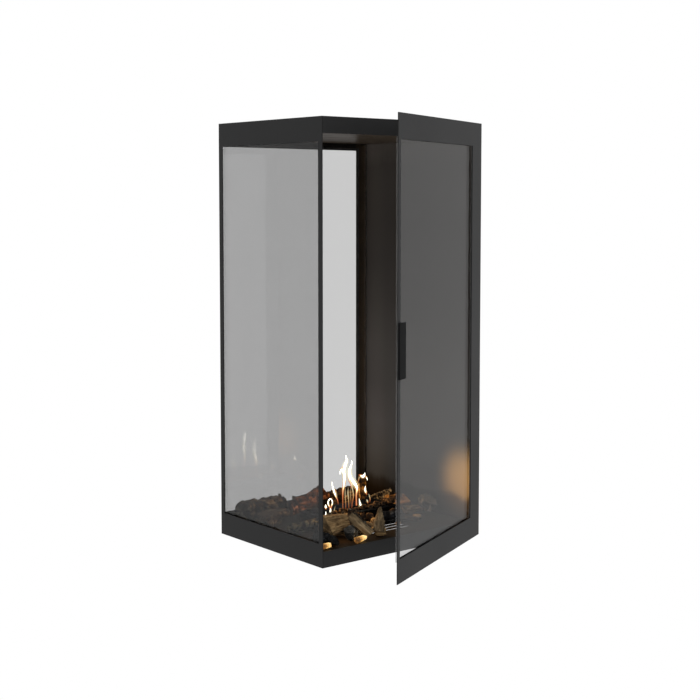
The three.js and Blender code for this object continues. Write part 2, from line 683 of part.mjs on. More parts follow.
// Handle: an extruded finger pull at the free edge. Its base lies on the stile, and its blade reaches
// over the glass and ends in a small lip behind which the fingers close.
const handleLeft = -halfWidth;
const handleBack = doorOuter - fit;
const handleFace = handleBack - handleDepth;
const handleOutline = new THREE.Shape();
handleOutline.moveTo(handleLeft, handleBack);
handleOutline.lineTo(handleLeft, handleFace + handleRound);
handleOutline.absarc(
  handleLeft + handleRound, handleFace + handleRound, handleRound, Math.PI, Math.PI * 1.5, false);
handleOutline.lineTo(handleLeft + handleWidth - handleRound, handleFace);
handleOutline.absarc(
  handleLeft + handleWidth - handleRound, handleFace + handleRound, handleRound,
  -Math.PI / 2, 0, false);
handleOutline.lineTo(
  handleLeft + handleWidth, handleFace + handleBladeThickness + handleLipDepth);
handleOutline.lineTo(
  handleLeft + handleWidth - handleBladeThickness, handleFace + handleBladeThickness + handleLipDepth);
handleOutline.lineTo(
  handleLeft + handleWidth - handleBladeThickness - handleLipDepth, handleFace + handleBladeThickness);
handleOutline.lineTo(handleLeft + handleBaseWidth, handleFace + handleBladeThickness);
handleOutline.lineTo(handleLeft + handleBaseWidth, handleBack);
handleOutline.closePath();
const handleLow = (cabinetHeight - handleHeight) / 2;
place(door, "door_handle", sheet("z", handleOutline, [], handleLow, handleLow + handleHeight), "coat");

// Door knuckles: short barrels with a welding tab on the inner face of the frame plate.
hingePlaces.forEach((level, index) => {
  const low = hingeBottom(index) + knuckleLength + fit;
  const high = hingeBottom(index) + hingeLength - knuckleLength - fit;
  const tabLeft = hingeX - knuckleRadius + fit;
  const tab = block([tabLeft, -halfDepth, low], [halfWidth - fit, -halfDepth + leafThickness, high]);
  const barrel = cylinder(knuckleRadius, hingeAxis, low, high);
  place(door, "hinge_knuckle_" + level, cut(join(tab, barrel), pinHoleCut(low, high)), "coat");
});

door.traverse((piece) => {
  if (piece.isMesh) piece.geometry.translate(-hingeX, -hingeY, 0);
});
door.position.set(hingeX, hingeY, 0);
door.rotation.z = doorAjar;

const fireplace = new THREE.Group();
fireplace.add(cabinet, snuffer, door);

export default fireplace;
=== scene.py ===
"""The looks of a glass room divider fireplace with an alcohol burner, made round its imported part.

The file follows the object as it is put together: the folded sheets, the fire chamber, posts and hinges,
seals and glass, the door, the burner, the ceramic logs and lumps, the embers, the flames and the studio.
Lengths are metres in the part's own frame: +Z up, the door on the -Y side, the closed wall on the +X side.
"""

import json
import math

import bpy
import numpy as np
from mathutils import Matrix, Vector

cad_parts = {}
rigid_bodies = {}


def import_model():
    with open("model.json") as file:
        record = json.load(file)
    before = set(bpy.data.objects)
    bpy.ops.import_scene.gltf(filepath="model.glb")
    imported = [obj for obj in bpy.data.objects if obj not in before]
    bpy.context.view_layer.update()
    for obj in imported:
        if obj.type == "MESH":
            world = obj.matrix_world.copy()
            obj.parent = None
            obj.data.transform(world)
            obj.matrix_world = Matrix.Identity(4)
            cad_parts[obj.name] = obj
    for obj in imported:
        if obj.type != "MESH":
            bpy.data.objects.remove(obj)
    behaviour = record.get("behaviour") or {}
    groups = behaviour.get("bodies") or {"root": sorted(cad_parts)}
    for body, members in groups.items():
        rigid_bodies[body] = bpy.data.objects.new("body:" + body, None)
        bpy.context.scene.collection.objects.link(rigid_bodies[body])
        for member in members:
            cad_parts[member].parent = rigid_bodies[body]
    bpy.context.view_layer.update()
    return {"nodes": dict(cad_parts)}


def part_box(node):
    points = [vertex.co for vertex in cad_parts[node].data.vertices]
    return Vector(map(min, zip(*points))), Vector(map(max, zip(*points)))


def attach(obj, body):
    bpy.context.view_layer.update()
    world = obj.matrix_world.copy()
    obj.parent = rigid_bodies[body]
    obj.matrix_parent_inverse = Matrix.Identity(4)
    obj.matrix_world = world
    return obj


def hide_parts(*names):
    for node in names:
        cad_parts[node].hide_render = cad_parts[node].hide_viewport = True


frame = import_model()
node = frame["nodes"]


# --------------------------------------------------
# Base, hood and covers
# Two folded trays of 2 mm steel, the wall side's outer sheet and the two 2.5 mm covers that lap over
# the fixed panes. All are sprayed with a fine matt black powder coat, which shows a slight orange peel.
# --------------------------------------------------

def add(tree, kind, feeds=(), **choices):
    """One shader node. A feed is (socket, value or the output that drives it); choices are its settings."""
    made = tree.nodes.new("ShaderNode" + kind)
    for choice, value in choices.items():
        setattr(made, choice, value)
    for socket, value in feeds:
        if isinstance(value, bpy.types.NodeSocket):
            tree.links.new(value, made.inputs[socket])
        else:
            made.inputs[socket].default_value = value
    return made


def new_finish(name):
    """An empty material, its node tree, and the place on the piece in metres that its patterns read."""
    material = bpy.data.materials.new(name)
    material.use_nodes = True
    tree = material.node_tree
    tree.nodes.clear()
    return material, tree, add(tree, "TexCoord").outputs["Object"]


def speckle(tree, place, per_metre, octaves=2.0, rough=0.5, bend=0.0):
    """Cloudy noise from 0 to 1, with that many swells in a metre."""
    feeds = [("Vector", place), ("Scale", per_metre), ("Detail", octaves), ("Roughness", rough),
             ("Distortion", bend)]
    return add(tree, "TexNoise", feeds).outputs["Fac"]


def tint(tree, share, stops):
    """Colours along a scale of 0 to 1, eased between the stops, each (place, (red, green, blue))."""
    scale = add(tree, "ValToRGB", [("Fac", share)])
    while len(scale.color_ramp.elements) < len(stops):
        scale.color_ramp.elements.new(0.5)
    for element, (where, colour) in zip(scale.color_ramp.elements, stops):
        element.position = where
        element.color = (*colour, 1)
    return scale.outputs["Color"]


def spread(tree, share, low, high, start=0.0, end=1.0):
    """A share of start to end turned into a value of low to high."""
    feeds = [("Value", share), ("From Min", start), ("From Max", end), ("To Min", low), ("To Max", high)]
    return add(tree, "MapRange", feeds).outputs["Result"]


def times(tree, one, other, plus=0.0):
    """One value, or the output that drives it, multiplied by another, and a third added."""
    return add(tree, "Math", [(0, one), (1, other), (2, plus)], operation="MULTIPLY_ADD").outputs[0]


def scaled(tree, colour, factor):
    """A colour made brighter or darker by a factor."""
    return add(tree, "VectorMath", [(0, colour), ("Scale", factor)], operation="SCALE").outputs[0]


def blend(tree, share, one, other):
    """One colour, with the other over it where its share is high."""
    return add(tree, "Mix", [("Factor", share), (6, one), (7, other)], data_type="RGBA").outputs[2]


def relief(tree, height, depth, under=None):
    """Fine relief that stands up to depth metres proud, on top of any coarser one."""
    feeds = [("Strength", 1.0), ("Distance", depth), ("Height", height)]
    if under is not None:
        feeds.append(("Normal", under))
    return add(tree, "Bump", feeds).outputs["Normal"]


def close_finish(tree, feeds):
    """The shader and the output; every value that is the same all over goes straight on the shader."""
    shader = add(tree, "BsdfPrincipled", feeds)
    add(tree, "OutputMaterial", [("Surface", shader.outputs["BSDF"])])


def clad(names, finish):
    """Puts a finish on CAD nodes, whose shapes stay as they are packed."""
    for name in names:
        node[name].data.materials.clear()
        node[name].data.materials.append(finish)


def powder_coat(name, dark, light, gloss, index):
    """Sprayed powder: slow clouds of thickness, an orange peel about a millimetre wide and fine grit."""
    material, tree, place = new_finish(name)
    cloud = speckle(tree, place, 2.4, 3.0)
    grit = speckle(tree, place, 1900.0, 1.0)
    peel = speckle(tree, place, 620.0, 2.0)
    mixed = spread(tree, times(tree, cloud, grit), 0, 1, 0.12, 0.42)
    close_finish(tree, [
        ("Base Color", tint(tree, mixed, [(0.0, dark), (1.0, light)])),
        ("Roughness", spread(tree, cloud, gloss - 0.04, gloss + 0.05, 0.3, 0.7)),
        ("IOR", index),
        ("Normal", relief(tree, peel, 0.00005, relief(tree, grit, 0.00002))),
    ])
    return material


def finished_coat(material):
    """What a second tone on a finish starts from: the tree, the place in metres and the colour socket."""
    tree = material.node_tree
    shader = next(made for made in tree.nodes if made.type == "BSDF_PRINCIPLED")
    place = next(made for made in tree.nodes if made.type == "TEX_COORD").outputs["Object"]
    return tree, add(tree, "SeparateXYZ", [(0, place)]).outputs, shader.inputs["Base Color"]


def painted_glow_inside(material, inner_face, start, end, shades):
    """The same coat with painted light on the sheet's inner face: a warm glow that brightens from start
    to end along X towards the fire-lit wall, and fades higher up."""
    tree, place, colour = finished_coat(material)
    inside = spread(tree, place["Y"], 1.0, 0.0, inner_face + 0.0006, inner_face + 0.0014)
    warm = tint(tree, spread(tree, place["X"], 0.0, 1.0, start, end), shades)
    warm = scaled(tree, warm, spread(tree, place["Z"], 1.0, 0.55, 0.35, 0.75))
    tree.links.new(blend(tree, inside, colour.links[0].from_socket, warm), colour)
    return material


COVER_BLACK = ((0.0118, 0.0118, 0.012), (0.0175, 0.0175, 0.0178), 0.45, 1.19)
# The rear cover's inner face along Y, and its stile beside the closed wall along X, in metres.
REAR_COVER_INSIDE, WALL_STILE = 0.2475, (0.225, 0.27)
# The base and hood take a lighter black than the covers: painted light, making up for the shade that the open
# door casts on the front.
body_coat = powder_coat("body_coat", (0.0165, 0.0165, 0.0168), (0.0235, 0.0235, 0.0238), 0.45, 1.19)
cover_coat = powder_coat("cover_coat", *COVER_BLACK)
rear_coat = powder_coat("rear_coat", *COVER_BLACK)
clad(["base_pan", "hood_shell"], body_coat)
clad(["end_cover_frame", "wall_casing"], cover_coat)
# The rear cover's inner face beside the closed wall carries painted light: a warm glow that runs from black
# to light brown towards the wall and fades higher up.
clad(["rear_cover_frame"], painted_glow_inside(rear_coat, REAR_COVER_INSIDE, *WALL_STILE, [
    (0.0, (0.014, 0.013, 0.012)), (0.1, (0.07, 0.042, 0.017)), (0.5, (0.11, 0.063, 0.029)),
    (0.76, (0.15, 0.093, 0.05)), (0.92, (0.3, 0.23, 0.17))]))


# --------------------------------------------------
# Fire chamber
# The hearth floor with its air slots on two rails, the ceiling plate and the wall liner: sheets with a
# satin heat-proof paint in browns, toned by height; on the wall liner those tones are painted light
# and shade.
# --------------------------------------------------

# How high the paint's tones reach, and how far up and down they wander, in metres.
CHAMBER_HEIGHT, WANDER = 1.2, 0.06


def squeezed(tree, place, shares):
    """The same place with each axis shortened to its share, which draws a pattern out along that axis."""
    return add(tree, "Mapping", [("Vector", place), ("Scale", shares)]).outputs["Vector"]


def toned_by_height(tree, share, shades):
    """A colour for each share of the chamber's height; shades are (height in metres, colour)."""
    return tint(tree, share, [(level / CHAMBER_HEIGHT, colour) for level, colour in shades])


def heat_paint(name, shades, gloss, index):
    """Satin stove paint, toned by height, with faint runs down the sheet, which the tone wanders with,
    and a fine grain. On the wall liner the tones by height are painted light and shade."""
    material, tree, place = new_finish(name)
    height = add(tree, "SeparateXYZ", [(0, place)]).outputs["Z"]
    runs = speckle(tree, squeezed(tree, place, (1.0, 1.0, 0.12)), 16.0, 4.0, 0.6)
    grain = speckle(tree, place, 1400.0, 2.0)
    share = spread(tree, times(tree, runs, WANDER, height), 0.0, 1.0, WANDER / 2, CHAMBER_HEIGHT + WANDER / 2)
    close_finish(tree, [
        ("Base Color", toned_by_height(tree, share, shades)),
        ("Roughness", spread(tree, runs, gloss - 0.03, gloss + 0.06, 0.3, 0.7)),
        ("IOR", index),
        ("Normal", relief(tree, grain, 0.00002)),
    ])
    return material


def lit_and_shaded_behind(material, shades, start, end):
    """The same paint with other shades from start to end along Y: the part of the wall behind the fire,
    which is lighter, with the logs' shadow painted dark below the flames and painted light that grows
    towards the rear corner."""
    tree, place, colour = finished_coat(material)
    front = colour.links[0].from_socket
    share = front.node.inputs["Fac"].links[0].from_socket
    behind = toned_by_height(tree, share, shades)
    # Painted light: the wall grows lighter towards the rear corner, making up for the shade that the rear
    # cover and the log pile cast there.
    behind = scaled(tree, behind, spread(tree, place["Y"], 0.93, 1.35, 0.14, 0.24))
    tree.links.new(blend(tree, spread(tree, place["Y"], 0.0, 1.0, start, end), front, behind), colour)
    return material


# The wall liner's tones by height are painted light and shade: nearly black at the foot, as the logs' shadow;
# lightest low down, where light falls in through the opening; darker higher up, as the hood's shade; and
# lighter again at the very top, making up for the shade under the ceiling.
liner_paint = heat_paint("liner_paint", [
    (0.098, (0.02, 0.016, 0.012)), (0.12, (0.07, 0.061, 0.055)), (0.22, (0.084, 0.076, 0.07)),
    (0.42, (0.074, 0.066, 0.06)), (0.68, (0.04, 0.0345, 0.0305)), (0.95, (0.034, 0.0285, 0.0245)),
    (1.12, (0.05, 0.042, 0.0365)), (1.19, (0.086, 0.074, 0.065))], 0.42, 1.1)
clad(["wall_liner"], lit_and_shaded_behind(liner_paint, [
    (0.07, (0.033, 0.016, 0.006)), (0.098, (0.05, 0.031, 0.018)), (0.118, (0.1, 0.08, 0.062)),
    (0.2, (0.113, 0.096, 0.08)), (0.29, (0.115, 0.1, 0.09)), (0.42, (0.082, 0.072, 0.065)),
    (0.55, (0.076, 0.067, 0.06)), (0.7, (0.054, 0.0465, 0.041)), (0.82, (0.042, 0.036, 0.032)),
    (0.95, (0.042, 0.0355, 0.031)), (1.12, (0.052, 0.044, 0.038)), (1.19, (0.09, 0.077, 0.067))],
    0.07, 0.16))
clad(["ceiling_plate"], heat_paint("ceiling_paint", [
    (0.9, (0.034, 0.027, 0.0215)), (1.2, (0.059, 0.045, 0.033))], 0.3, 1.03))
clad(["hearth_floor", "support_rail_left", "support_rail_right"], heat_paint("hearth_paint", [
    (0.0, (0.015, 0.0115, 0.008)), (0.3, (0.03, 0.021, 0.013))], 0.5, 1.12))


# --------------------------------------------------
# Posts, hinges and catches
# Two folded posts stiffen the wall side. Three barrel hinges of turned steel pins and pressed leaves
# hang the door in the front post's groove, and two magnets in black housings draw it shut.
# --------------------------------------------------

def bright_steel(name, along):
    """Zinc-plated steel: fine drawn lines along one axis and a faint grey cloud."""
    material, tree, place = new_finish(name)
    drawn = speckle(tree, squeezed(tree, place, along), 900.0, 3.0, 0.7)
    cloud = speckle(tree, place, 90.0, 3.0)
    close_finish(tree, [
        ("Base Color", tint(tree, cloud, [(0.3, (0.36, 0.36, 0.37)), (0.7, (0.55, 0.55, 0.56))])),
        ("Metallic", 1.0),
        ("Roughness", spread(tree, drawn, 0.22, 0.42, 0.3, 0.7)),
        ("Normal", relief(tree, drawn, 0.00002)),
    ])
    return material


clad(["hinge_post", "rear_post"], cover_coat)
hinge_steel = bright_steel("hinge_steel", (1.0, 1.0, 0.05))
clad([f"hinge_{part}_{level}" for part in ("leaf", "pin", "knuckle")
      for level in ("bottom", "middle", "top")], hinge_steel)


def seal_black(name, weave):
    """Black braided rope seal or moulded housing: a fine diagonal braid and matt, slightly dusty colour."""
    material, tree, place = new_finish(name)
    feeds = [("Vector", place), ("Scale", weave), ("Distortion", 3.0), ("Detail", 2.0), ("Detail Scale", 2.0)]
    braid = add(tree, "TexWave", feeds, bands_direction="DIAGONAL").outputs["Fac"]
    dust = speckle(tree, place, 240.0, 4.0)
    close_finish(tree, [
        ("Base Color", tint(tree, dust, [(0.35, (0.03, 0.03, 0.03)), (0.75, (0.07, 0.07, 0.068))])),
        ("Roughness", spread(tree, dust, 0.75, 0.95, 0.3, 0.7)),
        ("Normal", relief(tree, braid, 0.00025)),
    ])
    return material


clad(["end_gasket", "rear_gasket", "door_gasket"], seal_black("seal_rope", 180.0))
clad(["catch_bottom", "catch_top"], seal_black("magnet_housing", 60.0))


# --------------------------------------------------
# Fixed panes and their stops
# Two 4 mm heat-proof panes, lightly grey, stand on the hearth floor and are held against their seals
# by folded steel stops. Each pane lets rather more than half of the light through.
# --------------------------------------------------

def grey_glass(name, hold_back, index):
    """Grey pane: each face holds back a share of the light and mirrors by its angle; wiping leaves a haze."""
    material, tree, place = new_finish(name)
    wiped = add(tree, "Mapping", [("Vector", place), ("Rotation", (0.0, 0.5, 0.4)),
                                  ("Scale", (1.0, 1.0, 0.2))]).outputs["Vector"]
    haze = speckle(tree, wiped, 9.0, 4.0, 0.6)
    close_finish(tree, [
        ("Base Color", tint(tree, haze, [(0.35, (0.004, 0.004, 0.004)), (0.8, (0.012, 0.012, 0.0115))])),
        ("Roughness", spread(tree, haze, 0.0, 0.02, 0.55, 0.8)),
        ("IOR", index),
        ("Alpha", hold_back),
    ])
    return material


clad(["end_glass"], grey_glass("end_pane_glass", 0.282, 1.66))
clad(["rear_glass"], grey_glass("rear_pane_glass", 0.237, 3.0))
clad(["end_glass_stop", "rear_glass_stop"], cover_coat)


# --------------------------------------------------
# Door
# A welded steel frame, powder coated, round a third pane that two retainers clamp to its seal. The
# handle is a flat block, screwed on from behind, which the fingers draw the door open by.
# --------------------------------------------------

clad(["door_frame", "door_retainer_bottom", "door_retainer_top"], cover_coat)
clad(["door_glass"], grey_glass("door_pane_glass", 0.265, 2.04))
clad(["door_handle"],
     powder_coat("handle_coat", (0.0045, 0.0045, 0.0046), (0.008, 0.008, 0.0082), 0.5, 1.085))


# --------------------------------------------------
# Burner
# A steel tank of alcohol under a top plate with a long trough, where white ceramic wool feeds the
# flames. A flat snuffer slides over the trough by its turned knob. Heat has darkened the steel.
# --------------------------------------------------

def burnt_steel(name, dark, warm):
    """Heat-darkened steel: blotches of black and brown, dull patches and a fine rolled grain."""
    material, tree, place = new_finish(name)
    blotch = speckle(tree, place, 26.0, 5.0, 0.6, 0.4)
    grain = speckle(tree, squeezed(tree, place, (0.06, 1.0, 1.0)), 1300.0, 3.0, 0.6)
    close_finish(tree, [
        ("Base Color", tint(tree, blotch, [(0.35, dark), (0.6, warm), (0.75, dark)])),
        ("Roughness", spread(tree, blotch, 0.55, 0.75, 0.3, 0.7)),
        ("IOR", 1.15),
        ("Normal", relief(tree, grain, 0.00003)),
    ])
    return material


clad(["burner_tank", "burner_top_plate", "snuffer_plate"],
     burnt_steel("burnt_steel", (0.0022, 0.0022, 0.0023), (0.0045, 0.0036, 0.003)))
clad(["snuffer_knob"], burnt_steel("knob_steel", (0.01, 0.01, 0.0105), (0.02, 0.017, 0.015)))


def wool(name):
    """Ceramic wool: matted white fibres, scorched brown in patches where the flames stand."""
    material, tree, place = new_finish(name)
    fibres = speckle(tree, squeezed(tree, place, (0.25, 1.0, 1.0)), 700.0, 5.0, 0.7, 0.6)
    scorch = speckle(tree, place, 45.0, 3.0)
    close_finish(tree, [
        ("Base Color", tint(tree, times(tree, fibres, scorch), [
            (0.12, (0.16, 0.09, 0.05)), (0.3, (0.72, 0.68, 0.6)), (0.6, (0.85, 0.83, 0.78))])),
        ("Roughness", spread(tree, fibres, 0.85, 1.0, 0.3, 0.7)),
        ("Normal", relief(tree, fibres, 0.0006)),
    ])
    return material


clad(["ceramic_wool"], wool("wool"))


# --------------------------------------------------
# Ceramic logs
# Eighteen logs of cast heat-proof ceramic, painted by hand: dark bark, reddish bark, split pale wood and
# charcoal. They lie loose on the hearth floor, on the burner and on each other, and lift out one by one.
# --------------------------------------------------

# A full-sized log; its waves (swells round it, share of the radius, turn along it); and how far it bends,
# its ends slant and their middles stand proud, in shares of the radius.
LOG_LENGTH, LOG_RADIUS = 0.1, 0.03
LOG_WAVES = ((2, 0.09, 1.0), (3, 0.06, 2.3), (5, 0.04, -3.1), (7, 0.03, 4.7))
BEND_SHARE, SLANT_SHARE, DOME_SHARE = 0.1, 0.3, 0.12
# Rings from an end's rim to its middle, how far the torn end lies back, and the furrow that takes the full
# darkening, partly the paint's wash and partly painted shade, both in shares of the radius; the bark
# strip's half width, raggedness and edge, in degrees.
END_RINGS, END_BACK, DARK_FURROW = 9, 0.06, 0.12
STRIP_HALF, STRIP_RAGGED, STRIP_EDGE = 32, 28, 5


def eased_lattice(round_share, along_share, cells_round, cells_along, seed):
    """Random heights of -1 to 1 on a lattice that closes on itself round the log, eased from cell to cell."""
    heights = np.random.default_rng(seed).uniform(-1, 1, (cells_along + 2, cells_round))
    across, up = round_share * cells_round, np.clip(along_share, 0, 1) * cells_along
    column, row = np.floor(across).astype(int), np.floor(up).astype(int)
    fx, fy = across - column, up - row
    fx, fy = fx * fx * (3 - 2 * fx), fy * fy * (3 - 2 * fy)
    column, beside = column % cells_round, (column + 1) % cells_round
    low = heights[row, column] * (1 - fx) + heights[row, beside] * fx
    high = heights[row + 1, column] * (1 - fx) + heights[row + 1, beside] * fx
    return low * (1 - fy) + high * fy


def log_form(along, angle, q, side, length, radius, taper, splits, phase):
    """The cast log's own shape, lying along X: a tapered round with four waves of 2, 3, 5 and 7 swells
    turned along it, cut flat by each split, bent in one slow wave, its ends leaning to one side.
    q shrinks a ring to the raised middle of the end on that side (-1 or 1)."""
    wave = 1 + sum(share * np.sin(n * angle + drift * along + n * phase) for n, share, drift in LOG_WAVES)
    least = radius * (1 - taper * along) * wave
    split = np.zeros_like(least)
    for degrees, share in splits:
        facing = np.cos(angle - math.radians(degrees))
        flat = np.where(facing > share / 2, radius * share / np.maximum(facing, 1e-3), np.inf)
        split = np.where(flat < least, 1.0, split)
        least = np.minimum(least, flat)
    bend = radius * BEND_SHARE * np.sin(np.pi * along + phase)
    slant = SLANT_SHARE * radius * (2 * along - 1) ** 5 * np.cos(angle + phase)
    middle = side * (length / 2 + radius * DOME_SHARE)
    x = q * (length * (along - 0.5) + slant) + (1 - q) * middle
    return x, least, bend, split


def turned(x, y, z, heading, pitch):
    """Points tipped up by pitch about Y and then swung by heading about Z."""
    c, s = math.cos(math.radians(pitch)), math.sin(math.radians(pitch))
    x, z = x * c - z * s, x * s + z * c
    c, s = math.cos(math.radians(heading)), math.sin(math.radians(heading))
    return np.stack([x * c - y * s, x * s + y * c, z], axis=-1)


def placed(name, data):
    """A new object in the scene round a mesh, lamp or camera."""
    made = bpy.data.objects.new(name, data)
    bpy.context.scene.collection.objects.link(made)
    return made


def closed_skin(name, rings, ends, values):
    """A closed mesh from rings of points (ring, side, xyz), each end shut by a fan to one point.
    values holds one array (ring, side) or (ring, side, xyz) for each attribute of the mesh."""
    count, sides = rings.shape[:2]
    points = np.concatenate([rings.reshape(-1, 3), ends])
    ring, side = np.meshgrid(np.arange(count - 1), np.arange(sides), indexing="ij")
    here, beside = ring * sides + side, ring * sides + (side + 1) % sides
    quads = np.stack([here, beside, beside + sides, here + sides], axis=-1).reshape(-1, 4)
    one, two = np.arange(sides), (np.arange(sides) + 1) % sides
    last = (count - 1) * sides
    first_fan = np.stack([np.full(sides, count * sides), two, one], axis=-1)
    last_fan = np.stack([np.full(sides, count * sides + 1), last + one, last + two], axis=-1)
    mesh = bpy.data.meshes.new(name)
    mesh.from_pydata(points.tolist(), [], quads.tolist() + first_fan.tolist() + last_fan.tolist())
    mesh.polygons.foreach_set("use_smooth", np.ones(len(mesh.polygons), bool))
    for title, value in values.items():
        vector = value.ndim == 3
        flat = value.reshape(-1, 3) if vector else value.reshape(-1)
        flat = np.concatenate([flat, flat[:1], flat[-1:]])
        made = mesh.attributes.new(title, "FLOAT_VECTOR" if vector else "FLOAT", "POINT")
        made.data.foreach_set("vector" if vector else "value", flat.astype(np.float32).ravel())
    mesh.update()
    return placed(name, mesh)


def crease(heights, width):
    """1 where the heights pass through zero, falling to nothing within about that width."""
    return np.exp(-(heights / width) ** 2)


def stepped(heights, steps):
    """The heights broken into that many flat steps to each unit."""
    return np.round(steps * heights) / steps


def bark_relief(turn, along, seed):
    """Bark: ragged plates that stand up between long furrows, cross cracks and a rough skin; the outline
    breaks into steps where plates have come away."""
    drift = turn + 0.03 * eased_lattice(turn, along, 4, 5, seed)
    furrows = crease(eased_lattice(drift, along, 14, 5, seed + 1), 0.17)
    cracks = crease(eased_lattice(drift, along, 9, 16, seed + 2), 0.12)
    lumps = eased_lattice(turn, along, 9, 12, seed + 10)
    flakes = stepped(eased_lattice(drift, along, 13, 19, seed + 11), 1.8)
    skin = eased_lattice(turn, along, 52, 48, seed + 3)
    return -0.13 * np.clip(furrows + 0.6 * cracks, 0, 1) + 0.13 * lumps + 0.2 * flakes - 0.02 * (1 - skin)


def wood_relief(turn, along, seed):
    """Split wood: long fibres and a few torn steps that run the length of the face."""
    steps = stepped(eased_lattice(turn, along, 22, 2, seed + 4), 2.5)
    fibres = eased_lattice(turn, along, 90, 5, seed + 5)
    return -0.02 + 0.045 * steps - 0.03 * np.abs(fibres)


def char_relief(turn, along, seed):
    """Charcoal: blocks between deep cracks that run both round and along the log."""
    drift = turn + 0.02 * eased_lattice(turn, along, 6, 6, seed)
    long_cracks = crease(eased_lattice(drift, along, 11, 7, seed + 6), 0.1)
    cross_cracks = crease(eased_lattice(drift, along, 7, 13, seed + 7), 0.09)
    lumps = eased_lattice(turn, along, 8, 9, seed + 10)
    skin = eased_lattice(turn, along, 40, 36, seed + 8)
    return -0.12 * np.maximum(long_cracks, cross_cracks) + 0.07 * lumps - 0.025 * (1 - skin)


def cast_log(name, heading, pitch, length_share, girth_share, taper, splits, phase, relief_of, seed,
             swell=(1, 1, 1), squared=0.0, bark_at=90, rings=96, sides=120):
    """The fine surface of one log, laid where the part's own log lies: both follow log_form, so the
    corner of the coarse one's box says how high it rests. swell is its stoutness at the start, middle
    and end, squared how far four edges stand out of the round. A log of split wood keeps a ragged strip
    of bark round bark_at degrees."""
    length, radius = LOG_LENGTH * length_share, LOG_RADIUS * girth_share

    def points(count, around, end_rings, with_relief):
        """Rings from end to end: q is 1 along the body and falls to 0 over each end."""
        body = np.linspace(0, 1, count)
        shrink = np.linspace(0, 1, end_rings, endpoint=False)[1:]
        along = np.concatenate([np.zeros(len(shrink)), body, np.ones(len(shrink))])[:, None]
        q = np.concatenate([shrink, np.ones(count), shrink[::-1]])[:, None]
        angle = np.linspace(0, 2 * np.pi, around, endpoint=False)[None, :]
        along, angle = np.broadcast_arrays(along, angle)
        side = np.where(along > 0.5, 1.0, -1.0)
        x, least, bend, split = log_form(along, angle, q, side, length, radius, taper, splits, phase)
        sunk = np.zeros_like(least)
        if with_relief:
            turn = angle / (2 * np.pi)
            bark_of = relief_of
            if relief_of is wood_relief:
                bark_of = bark_relief
                away = np.abs((np.degrees(angle) - bark_at + 180) % 360 - 180)
                ragged = STRIP_RAGGED * eased_lattice(turn, along, 7, 6, seed + 12)
                split = np.clip((away - STRIP_HALF - ragged) / STRIP_EDGE, 0, 1)
            sunk = np.where(split > 0.5, wood_relief(turn, along, seed), bark_of(turn, along, seed))
            torn = eased_lattice(turn, q + 0 * along, 26, 8, seed + 9)
            x = x + side * radius * np.where(q < 1, -END_BACK - END_BACK * torn * (1 - q), -0.02)
            least = least * np.interp(along, (0, 0.5, 1), swell) * (1 - squared * np.cos(4 * angle))
        r = least + radius * sunk * q
        y, z = q * r * np.cos(angle) + bend, q * r * np.sin(angle)
        return x, y, z, sunk, split, q + 0 * along, bend

    x, y, z, *_ = points(10, 18, 1, False)
    reach = length / 2 + radius * DOME_SHARE
    caps = [turned(np.array(s * reach), np.array(radius * BEND_SHARE * math.sin(math.pi * (s > 0) + phase)),
                   np.array(0.0), heading, pitch) for s in (-1, 1)]
    coarse = np.concatenate([turned(x, y, z, heading, pitch).reshape(-1, 3), np.array(caps)])
    shift = np.array(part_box(name)[0]) - coarse.min(0)
    x, y, z, sunk, split, q, bend = points(rings, sides, END_RINGS, True)
    skin = turned(x, y, z, heading, pitch) + shift
    tips = np.array(caps) + shift
    inward = tips.mean(0) - tips
    tips = tips + END_BACK * radius * inward / np.linalg.norm(inward, axis=1)[:, None]
    values = {"own": np.stack([x, y - bend, z], axis=-1), "sunk": np.clip(-sunk / DARK_FURROW, 0, 1),
              "split": split, "cut_end": 1 - (q >= 1)}
    piece = closed_skin(name + "_skin", skin, tips, values)
    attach(piece, "cabinet")
    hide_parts(name)
    return piece


def attribute(tree, title, output="Fac"):
    """What closed_skin laid on each point of the mesh under that title."""
    return add(tree, "Attribute", attribute_name=title).outputs[output]


def ramp(tones):
    """Stops from the darkest tone at 0 to the lightest at 1; any between them come after their places."""
    dark, *between, light = tones
    return [(0.0, dark), *zip(between[::2], between[1::2]), (1.0, light)]


